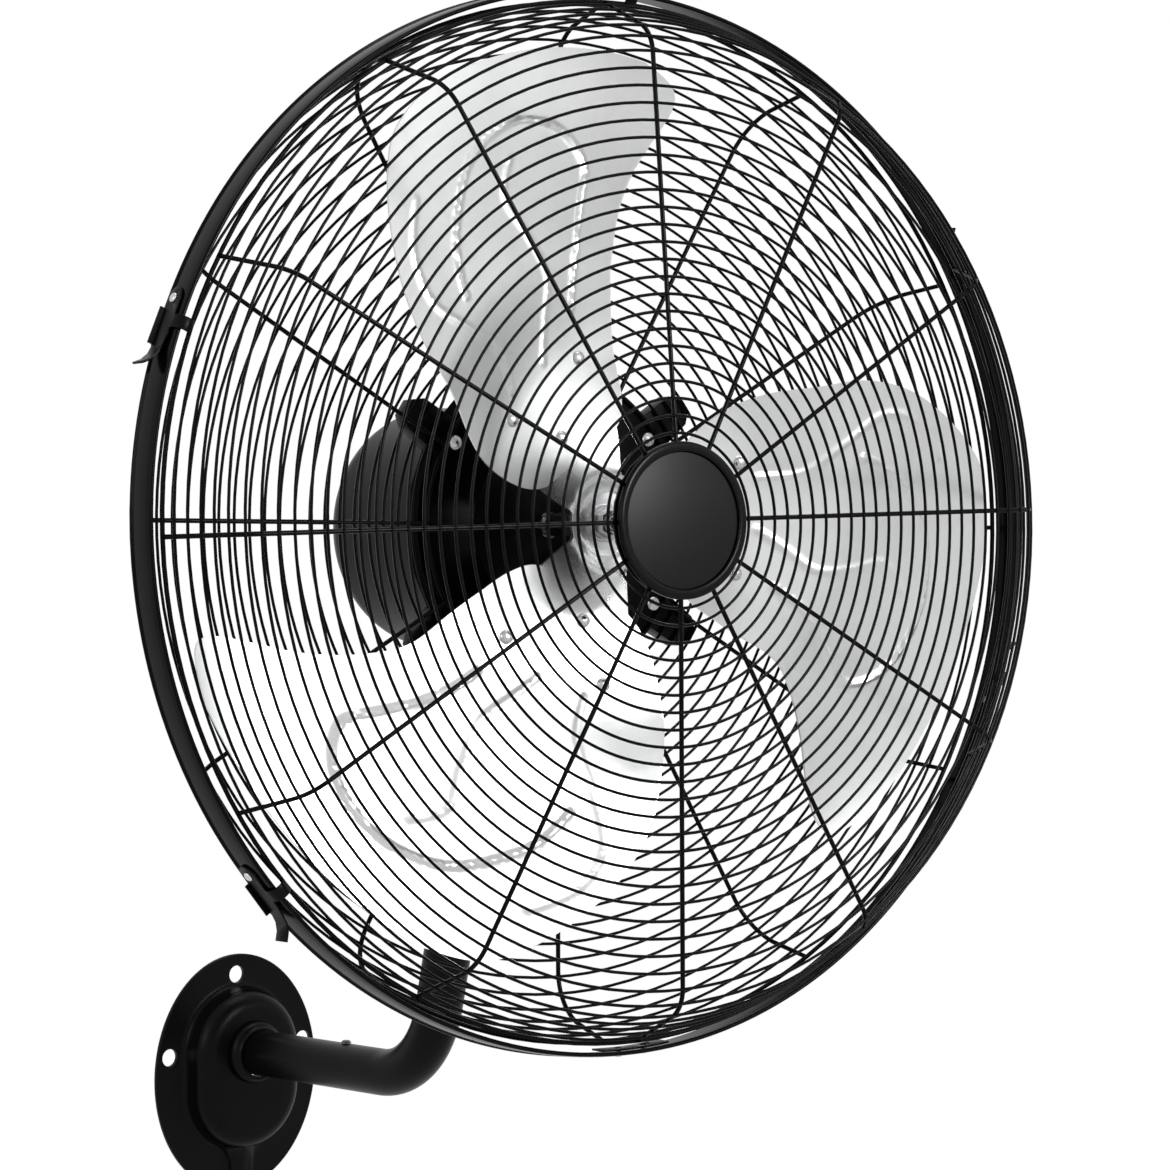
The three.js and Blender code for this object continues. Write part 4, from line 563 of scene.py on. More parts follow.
@dataclass
class Workshop:
    """Makes plain meshes, dresses them and hands them to their bodies.

    Attributes:
        materials: material by slot name.
        done: nodes that were replaced or dressed.
    """

    materials: dict[str, bpy.types.Material] = field(default_factory=dict)
    done: set[str] = field(default_factory=set)

    def __post_init__(self) -> None:
        """Builds every finish and the trees."""
        self.materials = {finish.slot: finish.material() for finish in FINISHES}
        self.wires = wire_tree()
        self.fasteners = fastener_tree()
        self.tubes = tube_tree()

    def shape(
        self,
        name: str,
        points: Iterable[Sequence[float]],
        faces: Iterable[Sequence[int]],
        place: Matrix,
        smooth: float = 35.0,
    ) -> bpy.types.Object:
        """Makes a closed mesh object, its doubles merged and its faces turned outwards.

        Args:
            name: the object's name.
            points: places in millimetres in the given frame.
            faces: faces by point number.
            place: the frame, in metres.
            smooth: the angle in degrees past which an edge stays sharp.

        Returns:
            The object at the origin.
        """
        mesh = bpy.data.meshes.new(name)
        mesh.from_pydata([place @ (Vector(p) * MM) for p in points], [], [list(f) for f in faces])
        return self.finished(name, mesh, smooth)

    def finished(self, name: str, mesh: bpy.types.Mesh, smooth: float) -> bpy.types.Object:
        """Cleans a mesh and makes its object.

        Args:
            name: the object's name.
            mesh: the mesh, in place.
            smooth: the angle in degrees past which an edge stays sharp.

        Returns:
            The object at the origin.
        """
        work = bmesh.new()
        work.from_mesh(mesh)
        bmesh.ops.remove_doubles(work, verts=work.verts, dist=2e-6)
        bmesh.ops.dissolve_degenerate(work, dist=1e-7, edges=work.edges)
        bmesh.ops.recalc_face_normals(work, faces=work.faces)
        work.to_mesh(mesh)
        work.free()
        mesh.shade_smooth()
        mesh.set_sharp_from_angle(angle=math.radians(smooth))
        made = bpy.data.objects.new(name, mesh)
        bpy.context.scene.collection.objects.link(made)
        return made

    def applied(self, piece: bpy.types.Object, smooth: float = 35.0) -> bpy.types.Object:
        """Turns a piece's modifiers into its plain mesh."""
        graph = bpy.context.evaluated_depsgraph_get()
        mesh = bpy.data.meshes.new_from_object(piece.evaluated_get(graph), depsgraph=graph)
        piece.modifiers.clear()
        piece.data = mesh
        mesh.shade_smooth()
        mesh.set_sharp_from_angle(angle=math.radians(smooth))
        return piece

    def bevelled(
        self, piece: bpy.types.Object, width: float, segments: int = 2
    ) -> bpy.types.Object:
        """Rounds a piece's sharp edges.

        Args:
            piece: the object.
            width: the bevel's width in millimetres.
            segments: how many facets it has.

        Returns:
            The object.
        """
        bevel = piece.modifiers.new("bevel", "BEVEL")
        bevel.width = width * MM
        bevel.segments = segments
        bevel.limit_method = "ANGLE"
        bevel.angle_limit = math.radians(32)
        bevel.use_clamp_overlap = True
        return self.applied(piece)

    def hand_over(
        self, piece: bpy.types.Object, slot: str, body: str, nodes: Sequence[str] = ()
    ) -> bpy.types.Object:
        """Gives a piece its material and its body.

        Args:
            piece: the object.
            slot: the record's material slot.
            body: the body it rides on.
            nodes: the CAD nodes it stands for.

        Returns:
            The object.
        """
        piece.data.materials.clear()
        piece.data.materials.append(self.materials[slot])
        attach(piece, body)
        if nodes:
            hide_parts(*nodes)
            self.done.update(nodes)
        LOG.info("%s: %d faces on %s", piece.name, len(piece.data.polygons), body)
        return piece

    def revolved(
        self,
        name: str,
        profile: Profile,
        place: Matrix,
        steps: int = 96,
        smooth: float = 35.0,
    ) -> bpy.types.Object:
        """Revolves a closed profile of (radius, forward) points about the Z axis of a frame.

        Args:
            name: the object's name.
            profile: the profile in millimetres.
            place: the frame.
            steps: facets round a full turn.
            smooth: the angle in degrees past which an edge stays sharp.

        Returns:
            The object.
        """
        angles = np.linspace(0, 2 * math.pi, steps, endpoint=False)
        points = [(r * math.cos(a), r * math.sin(a), f) for a in angles for r, f in profile]
        count = len(profile)
        faces = []
        for i in range(steps):
            for j in range(count):
                a = i * count + j
                b = i * count + (j + 1) % count
                after = ((i + 1) % steps - i) * count
                faces.append((a, b, b + after, a + after))
        return self.shape(name, points, faces, place, smooth)

    def lofted(
        self, name: str, rings: Sequence[Sequence[Point]], place: Matrix, smooth: float = 35.0
    ) -> bpy.types.Object:
        """Skins rings of points one after another and caps both ends.

        Args:
            name: the object's name.
            rings: rings with equal numbers of points, in millimetres.
            place: the frame.
            smooth: the angle in degrees past which an edge stays sharp.

        Returns:
            The object.
        """
        count = len(rings[0])
        faces = [tuple(range(count))]
        for row in range(len(rings) - 1):
            for i in range(count):
                a, b = row * count + i, row * count + (i + 1) % count
                faces.append((a, b, b + count, a + count))
        last = (len(rings) - 1) * count
        faces.append(tuple(last + i for i in reversed(range(count))))
        return self.shape(name, [p for ring in rings for p in ring], faces, place, smooth)

    def refined(self, node: str, width: float) -> bpy.types.Object:
        """Stands for a CAD node with a copy of it whose edges are rounded.

        Args:
            node: the CAD node.
            width: the rounding in millimetres.

        Returns:
            The piece, handed over.
        """
        source = frame["nodes"][node].data.copy()
        work = bmesh.new()
        work.from_mesh(source)
        bmesh.ops.remove_doubles(work, verts=work.verts, dist=2e-6)
        bmesh.ops.dissolve_limit(
            work, angle_limit=math.radians(1.5), verts=work.verts, edges=work.edges
        )
        work.to_mesh(source)
        work.free()
        piece = self.finished(f"{node}_shape", source, 40)
        return self.hand_over(self.bevelled(piece, width), SLOT_OF[node], BODY_OF[node], [node])

    def dress_rest(self) -> None:
        """Gives every CAD node that still shows its own finish."""
        for node, shown in frame["nodes"].items():
            if node not in self.done:
                shown.data.materials.clear()
                shown.data.materials.append(self.materials[SLOT_OF[node]])
                LOG.info("%s keeps its CAD shape", node)

    def scatter(
        self,
        name: str,
        template: bpy.types.Object,
        places: Sequence[tuple[Vector, Vector]],
        slot: str,
    ) -> bpy.types.Object:
        """Stands a template on each place and returns them all as one piece.

        Args:
            name: the piece's name.
            template: the object to repeat; it is deleted.
            places: points and axes in the world frame, in metres.
            slot: the record's material slot.

        Returns:
            The piece.
        """
        source = points_object(
            [tuple(point) for point, _ in places],
            vectors={"axis": [tuple(axis) for _, axis in places]},
        )
        values = {"Template": template, "Size": 1.0, "Material": self.materials[slot]}
        mesh = self.fasteners.run(source, values)
        bpy.data.objects.remove(template)
        return self.finished(name, mesh, 35)


# Steps in degrees from a round head's top to its rim, and shares of a crowned disc's radius.
DOME_ANGLES = (12, 26, 40, 54, 68, 80, 88)
CROWN_SHARES = (0.98, 0.85, 0.7, 0.55, 0.4, 0.25, 0.12, 0.0)
SLOT_OF = {row["node"]: row["material_slot"] for row in frame["record"]["subparts"]}


def arc(
    centre: tuple[float, float], radius: float, start: float, end: float, steps: int
) -> Profile:
    """Points on an arc.

    Args:
        centre: the arc's centre.
        radius: its radius.
        start: first angle in degrees, from the first axis.
        end: last angle in degrees.
        steps: how many facets.

    Returns:
        The points.
    """
    angles = np.radians(np.linspace(start, end, steps + 1))
    return [(centre[0] + radius * math.cos(a), centre[1] + radius * math.sin(a)) for a in angles]


def length_along(rows: np.ndarray) -> np.ndarray:
    """How far along a line each of its points lies."""
    return np.concatenate([[0], np.cumsum(np.hypot(*np.diff(rows, axis=0).T))])


def domed(radius: float, crown: float, base: float = 0.0) -> Profile:
    """A round head's profile, from the axis to its rim.

    Args:
        radius: the head's radius.
        crown: how high it rises.
        base: where its rim stands.

    Returns:
        The profile as (radius, height) points.
    """
    steps = [math.radians(angle) for angle in (0, *DOME_ANGLES)]
    return [(radius * math.sin(a), base + crown * math.cos(a)) for a in steps]


def smooth_step(share: np.ndarray | float) -> np.ndarray | float:
    """A smooth step from 0 to 1."""
    held = np.clip(share, 0.0, 1.0)
    return held * held * (3 - 2 * held)


# ---- Wall plate and arm ------------------------------------------------------------------------


@dataclass
class WallPlate:
    """The pressed oval plate with its dome and cable channel, drawn with X right, Y up, Z out."""

    half_width: float = 69.5
    top: float = 68.5
    bottom: float = -103.0
    sheet: float = 2.8
    dome: float = 45.0
    dome_height: float = 22.0
    dome_rounding: float = 12.0
    channel: float = 9.5
    blend: float = 12.0
    drop: float = 27.0
    foot: float = -99.0
    hole: float = 6.3
    holes: tuple[tuple[float, float], ...] = ((0, 54), (58, 0), (-58, 0))
    tube_hole: float = 16.6
    centre: float = -16.0
    reach: float = 110.0
    skew: float = 0.42
    steps: int = 160

    def distance(self, x: np.ndarray, y: np.ndarray, channel: float) -> np.ndarray:
        """Signed distance to the dome's outline, joined with the channel's.

        Args:
            x: places across.
            y: places up.
            channel: 1 with the channel, 0 without.

        Returns:
            The distance, negative inside.
        """
        across, down = np.abs(x), -y
        dome = np.hypot(across, down - np.clip(down, 0, self.drop)) - self.dome
        ends = np.maximum(y + self.drop, self.foot - y)
        bar = np.maximum(across - self.channel, ends)
        mix = np.clip(0.5 + 0.5 * (bar - dome) / self.blend, 0, 1)
        joined = bar * (1 - mix) + dome * mix - self.blend * mix * (1 - mix)
        return dome * (1 - channel) + joined * channel

    def angles(self) -> np.ndarray:
        """Directions of a ring's points from the centre, closer together round the channel."""
        turn = 2 * math.pi * np.linspace(0, 1, self.steps, endpoint=False)
        return turn + math.pi / 2 + self.skew * np.sin(turn)

    def contour(self, inset: float, channel: float, height: float) -> list[Point]:
        """A ring of points where the outline is set in by a distance.

        Args:
            inset: the distance inwards.
            channel: 1 with the channel, 0 without.
            height: the ring's height over the wall.

        Returns:
            The ring.
        """
        angle = self.angles()
        low, high = np.zeros(self.steps), np.full(self.steps, self.reach)
        for _ in range(30):
            middle = (low + high) / 2
            x = middle * np.cos(angle)
            y = self.centre + middle * np.sin(angle)
            outside = self.distance(x, y, channel) > -inset
            high = np.where(outside, middle, high)
            low = np.where(outside, low, middle)
        return [
            (r * math.cos(a), self.centre + r * math.sin(a), height) for r, a in zip(low, angle)
        ]

    def oval(self, inset: float, height: float) -> list[Point]:
        """A ring on the plate's edge, matched with the contour's angles.

        Args:
            inset: the distance inwards.
            height: the ring's height over the wall.

        Returns:
            The ring.
        """
        ring = []
        middle = (self.top + self.bottom) / 2
        offset = self.centre - middle
        a, b = self.half_width - inset, self.top - middle - inset
        for angle in self.angles():
            c, s = math.cos(angle), math.sin(angle)
            qa = (c / a) ** 2 + (s / b) ** 2
            qb = 2 * offset * s / b**2
            qc = (offset / b) ** 2 - 1
            r = (-qb + math.sqrt(qb * qb - 4 * qa * qc)) / (2 * qa)
            ring.append((r * c, self.centre + r * s, height))
        return ring

    def build(self, shop: Workshop) -> None:
        """Makes the plate with its holes and hands it over."""
        front = shop.lofted("plate_front", self.front_rings(), UPRIGHT, 40)
        cutters = self.cutters(shop)
        for cutter in cutters:
            cut = front.modifiers.new("cut", "BOOLEAN")
            cut.operation = "DIFFERENCE"
            cut.solver = "EXACT"
            cut.object = cutter
        piece = shop.applied(front, 32)
        for cutter in cutters:
            bpy.data.objects.remove(cutter)
        piece.name = "pressed_wall_plate"
        shop.hand_over(piece, "satin_black", "arm", ["wall_plate"])

    def front_rings(self) -> list[list[Point]]:
        """The plate's skin: its edge, the fillet at the dome's foot, the dome's side and face."""
        face = self.sheet + self.dome_height
        edge = 0.8
        rings = [self.oval(0.0, 0.0), self.oval(0.0, self.sheet - edge)]
        rings.append(self.oval(edge, self.sheet))
        for out, up in ((4.5, 0.0), (2.2, 0.5), (0.8, 1.7), (0.2, 3.6)):
            rings.append(self.contour(-out, 1.0, self.sheet + up))
        for share in (0.0, 0.35, 0.7, 1.0):
            keep = 1 - float(smooth_step(share))
            rings.append(self.contour(0.3 + share, keep, self.sheet + 5.2 + 5.0 * share))
        for angle in np.radians(np.linspace(0, 84, 9)):
            inset = 1.6 + 13 * (1 - math.cos(angle))
            height = face - self.dome_rounding * (1 - math.sin(angle))
            rings.append(self.contour(inset, 0.0, height))
        rings.append(self.contour(24.0, 0.0, face))
        return rings

    def cutters(self, shop: Workshop) -> list[bpy.types.Object]:
        """Shapes of the hollow behind the dome, the screw holes and the tube's hole."""
        inner = [self.contour(3.0, 1.0, -1.0), self.contour(3.0, 1.0, 6.5)]
        inner += [self.contour(4.2, 0.0, 11.0), self.contour(16.0, 0.0, self.dome_height)]
        made = [shop.lofted("plate_hollow", inner, UPRIGHT, 40)]
        for x, y in self.holes:
            disc = [(0, -2), (self.hole, -2), (self.hole, 6), (0, 6)]
            at = UPRIGHT @ Matrix.Translation((x * MM, y * MM, 0))
            made.append(shop.revolved("plate_hole", disc, at, 48))
        bore = [(0, 8), (self.tube_hole, 8), (self.tube_hole, 40), (0, 40)]
        made.append(shop.revolved("tube_hole", bore, UPRIGHT, 64))
        return made


@dataclass
class Arm:
    """The bent tube, its collar and the casting on its top."""

    radius: float = 16.0
    root: float = 8.0
    crossing: float = 15.0
    rise: float = 3.05
    elbow: float = 228.7
    bend: float = 70.0
    lean: float = 14.0
    top: float = 230.0
    collar: float = 29.0
    rounding: tuple[tuple[str, float], ...] = (
        ("neck", 1.4),
        ("swivel_pin", 0.6),
        ("arm_screw", 0.3),
    )

    def height(self, reach: float) -> float:
        """The axis's height where it leaves the plate."""
        return (reach - self.crossing) * math.tan(math.radians(self.rise))

    def path(self) -> list[Point]:
        """The tube's axis as points in metres."""
        rise = math.radians(self.rise)
        turn = math.pi / 2 - rise - math.radians(self.lean)
        start = self.elbow - self.bend * math.tan(turn / 2) * math.cos(rise)
        centre_reach = start - self.bend * math.sin(rise)
        centre_height = self.height(start) + self.bend * math.cos(rise)
        places = [(self.root, self.height(self.root))]
        for angle in np.linspace(rise, rise + turn, 33):
            reach = centre_reach + self.bend * math.sin(angle)
            places.append((reach, centre_height - self.bend * math.cos(angle)))
        climb = math.tan(math.radians(self.lean))
        last = self.elbow + (self.top - self.height(self.elbow)) * climb
        places.append((last, self.top))
        return [(0.0, -reach * MM, up * MM) for reach, up in places]

    def build(self, shop: Workshop) -> None:
        """Makes the tube, collar and screw."""
        path = self.path()
        source = points_object(path, [(i, i + 1) for i in range(len(path) - 1)])
        coat = shop.materials["satin_black"]
        mesh = shop.tubes.run(source, {"Radius": self.radius * MM, "Sides": 64, "Material": coat})
        tube = shop.finished("bent_arm_tube", mesh, 40)
        shop.hand_over(tube, "satin_black", "arm", ["arm_tube"])
        profile = [(16.7, 25.2), (22.0, 25.2), (22.4, 26.0)]
        profile += arc((17.0, 27.2), 5.4, 0, 62, 6)
        profile += [(18.6, 33.0), (18.2, 34.2), (16.7, 34.2)]
        place = UPRIGHT @ Matrix.Translation((0, self.height(self.collar) * MM, 0))
        collar = shop.revolved("flared_collar", profile, place, 64)
        shop.hand_over(collar, "satin_black", "arm", ["root_collar"])
        for node, width in self.rounding:
            shop.refined(node, width)


# ---- Head --------------------------------------------------------------------------------------


@dataclass
class Swivel:
    """The fork that turns on the arm and the bolt that the head tilts about."""

    rounding: tuple[tuple[str, float], ...] = (("yoke", 1.2), ("tilt_bolt", 0.5), ("tilt_nut", 0.6))

    def build(self, shop: Workshop) -> None:
        """Rounds the swivel's pieces."""
        for node, width in self.rounding:
            shop.refined(node, width)


@dataclass
class Motor:
    """The motor's bell, its end shield and the gland."""

    radius: float = 80.0
    wall: float = 3.0
    mouth: float = -87.0
    rear: float = -228.0
    corner: float = 24.0
    groove: float = 0.9
    groove_at: float = -104.0
    cap: float = 24.0
    shield: tuple[float, float] = (40.0, 70.0)
    lug_radius: float = 14.0
    lug_foot: tuple[float, float] = (26.0, 29.0)
    lug_width: float = 22.0

    def build(self, shop: Workshop) -> None:
        """Makes the bell as a turned shell and rounds the rest."""
        r, low, at = self.radius, self.radius - self.groove, self.groove_at
        outer = [(r, self.mouth), (r, at), (low, at - 0.6), (low, at - 2.0), (r, at - 2.6)]
        outer += arc((r - self.corner, self.rear + self.corner), self.corner, 0, -90, 14)
        outer += [(self.cap, self.rear), (self.cap - 1, self.rear + 1.2), (0.0, self.rear + 1.2)]
        inner = [(0.0, self.rear + 4), (r - self.corner, self.rear + 4)]
        inner += [(r - self.wall, self.rear + self.corner), (r - self.wall, self.mouth)]
        bell = shop.revolved("turned_motor_bell", outer + inner, FACE, 128, 30)
        shop.hand_over(bell, "satin_black", "head", ["motor_bell"])
        self.lug(shop)
        self.widened(shop.refined("end_shield", 0.9))
        shop.refined("cable_gland", 0.6)

    def widened(self, piece: bpy.types.Object) -> None:
        """Widens the end shield's rim and ears to the bell's real width."""
        inner, outer = self.shield
        back = FACE.inverted()
        for vertex in piece.data.vertices:
            here = back @ vertex.co
            radius = math.hypot(here.x, here.y) / MM
            share = float(smooth_step((radius - inner) / (outer - inner)))
            grow = 1 + (self.radius / outer - 1) * share
            vertex.co = FACE @ Vector((here.x * grow, here.y * grow, here.z))

    def lug(self, shop: Workshop) -> None:
        """Makes the lug between the fork's ears."""
        r, half = self.lug_radius, self.lug_width / 2
        foot, rise = self.lug_foot
        outline = arc((0, 0), r, 180, 360, 24) + [(r, r), (foot, rise), (-foot, rise), (-r, r)]
        rings = [[(x, y, z) for x, y in outline] for z in (-half, half)]
        turn = Matrix(((0, 0, 1, 0), (0, 1, 0, 0), (-1, 0, 0, 0), (0, 0, 0, 1)))
        place = FACE @ Matrix.Translation((0, -PIVOT_BELOW_AXIS, -PIVOT_BEHIND_BAND)) @ turn
        lug = shop.bevelled(shop.lofted("tilt_lug", rings, place), 1.2, 3)
        shop.hand_over(lug, "satin_black", "head")


@dataclass
class WireGuards:
    """Both wire guards with every ring of the real ones, and the rear one's mounting plate.

    A section's points and the rim are (radius, forward) pairs.
    """

    ring: float = 1.0
    spoke: float = 1.5
    first: float = 53.5
    pitch: float = 10.64
    face_rings: int = 23
    side_rings: int = 7
    edge: float = 287.3
    depth: float = 62.3
    slope: float = 2.6
    shoulder: float = 22.0
    side: float = 64.0
    rim: tuple[float, float] = (324.0, 2.1)
    badge_ring: float = 44.0
    lap: float = 1.1
    rear_ring: float = 98.0
    rear_pitch: float = 10.6
    rear_depth: float = -68.0
    rear_shoulder: float = 34.0
    rear_edge: float = 285.0
    rear_rim: tuple[float, float] = (325.4, -18.2)
    rear_turn: float = -2.0

    def ordered(
        self,
        name: str,
        line: np.ndarray,
        rings: Sequence[float],
        heavy: Sequence[float],
        turn: float,
        lift: float,
        shop: Workshop,
    ) -> bpy.types.Object:
        """Makes one guard from its section.

        Args:
            name: the piece's name.
            line: the section as (radius, forward) rows.
            rings: where the thin rings stand, by length along the section.
            heavy: where the thick rings stand.
            turn: the spokes' turn in degrees.
            lift: how far the rings stand outwards of the spokes.
            shop: the workshop.

        Returns:
            The piece.
        """
        run = length_along(line)
        slope = np.gradient(line, run, axis=0)
        slope /= np.hypot(*slope.T)[:, None]
        points = [(r * MM, 0.0, f * MM) for r, f in line]
        edges = [(i, i + 1) for i in range(len(line) - 1)]
        weight, reach = [0.0] * len(line), [0.0] * len(line)
        for kind, places, out in ((1.0, rings, lift), (2.0, heavy, 0.0)):
            for at in places:
                r, f = (np.interp(at, run, line[:, k]) for k in (0, 1))
                sr, sf = (np.interp(at, run, slope[:, k]) for k in (0, 1))
                points.append(((r - out * sf) * MM, 0.0, (f + out * sr) * MM))
                reach.append((r - out * sf) * MM)
                weight.append(kind)
        source = points_object(points, edges, numbers={"reach": reach, "weight": weight})
        values = {
            "Ring Wire": self.ring * MM,
            "Spoke Wire": self.spoke * MM,
            "Spokes": 12,
            "Turn": math.radians(turn),
            "Segments": 128,
            "Sides": 8,
            "Material": shop.materials["gloss_black"],
        }
        mesh = shop.wires.run(source, values)
        mesh.transform(FACE)
        return shop.finished(name, mesh, 60)

    def front(self, shop: Workshop) -> bpy.types.Object:
        """Makes the front guard."""
        angle = math.radians(self.slope)

        def forward(radius: float) -> float:
            """The cone's forward place at a radius."""
            return self.depth - (radius - self.first) * math.tan(angle)

        centre = (
            self.edge - self.shoulder * math.sin(angle),
            forward(self.edge) - self.shoulder * math.cos(angle),
        )
        line = [(r, forward(r)) for r in (self.badge_ring, 150.0)]
        line += arc(centre, self.shoulder, 90 - self.slope, 90 - self.side, 12)
        rows = np.array(line + [self.rim])
        end = length_along(rows)[-1]
        face = [self.first + self.pitch * k for k in range(self.face_rings)]
        rings = [(radius - self.badge_ring) / math.cos(angle) for radius in face]
        step = (end - rings[-1]) / self.side_rings
        rings += [rings[-1] + step * k for k in range(1, self.side_rings)]
        return self.ordered("front_wire_guard", rows, rings, [0.0, end], 0.0, self.lap, shop)

    def rear(self, shop: Workshop) -> bpy.types.Object:
        """Makes the rear guard."""
        centre = (self.rear_edge, self.rear_depth + self.rear_shoulder)
        line = [(self.rear_ring, self.rear_depth), (200.0, self.rear_depth)]
        line += arc(centre, self.rear_shoulder, -90, -24, 12)
        rows = np.array(line + [self.rear_rim])
        end = length_along(rows)[-1]
        count = int((end - self.rear_pitch) // self.rear_pitch)
        rings = [self.rear_pitch * (k + 1) for k in range(count)]
        ends, turn = [0.0, end], self.rear_turn
        return self.ordered("rear_wire_guard", rows, rings, ends, turn, -self.lap, shop)

    def build(self, shop: Workshop) -> None:
        """Makes both guards and the rear one's plate."""
        shop.hand_over(self.front(shop), "gloss_black", "head", ["front_guard"])
        shop.hand_over(self.rear(shop), "gloss_black", "head", ["rear_guard"])
        profile = [(62.0, -70.5), (100.0, -70.5), (100.6, -69.7), (100.0, -68.9)]
        profile += [(66.0, -68.9), (64.0, -67.6), (62.0, -67.6)]
        plate = shop.revolved("guard_mounting_ring", profile, FACE, 128)
        shop.hand_over(plate, "gloss_black", "head")


@dataclass
class Band:
    """The rolled band round both guards, and the clips that turn on it."""

    front: float = 3.0
    rear: float = -19.5
    sheet: float = 1.2
    lift: float = 3.0
    joint: float = -89.4

    def build(self, shop: Workshop) -> None:
        """Makes the band and rounds the clips, which sit on its outside."""
        r, t = BAND_RADIUS, self.sheet
        profile = [(r - 1.0 + x, f) for x, f in arc((-1.0, self.front - 1.4), 1.4, 200, 0, 10)]
        profile += [(r - 0.3, self.front - 3.4), (r, self.front - 5.0), (r, self.rear + 3.4)]
        profile += arc((r - 0.35, self.rear + 1.5), 1.5, 60, -90, 8)
        profile += [(r - t, self.rear), (r - t, self.front - 4.0)]
        band = shop.revolved("rolled_guard_band", profile, FACE, 240, 30)
        shop.hand_over(band, "gloss_black", "head", ["guard_band"])
        clips = [(f"latch_{i}", azimuth, 0.3) for i, azimuth in enumerate(LATCH_AZIMUTHS, 1)]
        for node, azimuth, width in clips + [("band_strap", self.joint, 0.2)]:
            clip = shop.refined(node, width)
            clip.data.transform(Matrix.Translation(outward(azimuth) * self.lift * MM))


@dataclass
class Badge:
    """The plain badge in its glossy bezel."""

    radius: float = 41.5
    bezel: float = 48.4
    back: float = 64.83
    height: float = 4.5
    floor: float = 1.6
    disc: tuple[float, float] = (1.8, 2.6)
    crown: float = 1.7

    def build(self, shop: Workshop) -> None:
        """Makes the bezel and the disc."""
        low, top, floor = self.back, self.back + self.height, self.back + self.floor
        profile = [(0, low), (self.bezel - 1.0, low), (self.bezel, low + 1.2)]
        profile += arc((self.bezel - 2.0, top - 2.0), 2.0, 0, 90, 6)
        profile += arc((self.radius + 1.9, top - 1.2), 1.2, 90, 180, 5)
        profile += [(self.radius + 0.4, floor), (0, floor)]
        bezel = shop.revolved("badge_bezel_ring", profile, FACE, 128)
        shop.hand_over(bezel, "gloss_plastic", "head", ["badge_bezel"])
        under, edge = (low + height for height in self.disc)
        face = [(0, under), (self.radius, under), (self.radius, edge)]
        face += [(self.radius * k, edge + self.crown * (1 - k * k)) for k in CROWN_SHARES]
        disc = shop.revolved("badge_plain_disc", face, FACE, 128)
        shop.hand_over(disc, "badge_face", "head", ["badge_disc"])


# ---- Rotor -------------------------------------------------------------------------------------

# Points on a blade: radius in millimetres and degrees from its centre line.
LEADING = [(47, 28), (55, 33), (66, 39), (82, 41), (105, 39.5), (130, 35.5), (160, 29.5)]
LEADING += [(190, 25.5), (222, 20), (250, 14), (275, 8), (290, 3), (298, -5)]
TRAILING = [(47, -28), (55, -33), (66, -40), (82, -41), (105, -38.5), (130, -37), (160, -36)]
TRAILING += [(190, -38.5), (222, -42.5), (250, -46.5), (275, -49), (290, -48), (298, -42)]
RIB_LOOP = [(185, 10), (208, 6), (229, 0), (246, -6), (255, -13), (256, -19), (250, -25)]
RIB_LOOP += [(238, -29), (222, -31), (203, -29), (180, -26), (157, -23), (136, -21)]
CREASE_OUTER = [(112, 12), (140, 10), (170, 14), (200, 17), (228, 14), (250, 7)]
CREASE_INNER = [(112, -5), (135, -10), (160, -14), (190, -12), (215, -10), (236, -14)]
RIVETS = ((102, 19), (105, -21), (66, 4.5))


def eased(points: Sequence[tuple[float, float]], steps: int) -> np.ndarray:
    """A smooth curve through points.

    Args:
        points: the points to pass through.
        steps: points for each span.

    Returns:
        The curve's points as rows.
    """
    rows = np.array([points[0], *points, points[-1]], float)
    made = []
    for i in range(1, len(rows) - 2):
        a, b, c, d = rows[i - 1 : i + 3]
        for t in np.linspace(0, 1, steps, endpoint=False):
            bend = (2 * a - 5 * b + 4 * c - d) * t**2 + (3 * b - a - 3 * c + d) * t**3
            made.append(0.5 * (2 * b + (c - a) * t + bend))
    made.append(rows[-1])
    return np.array(made)


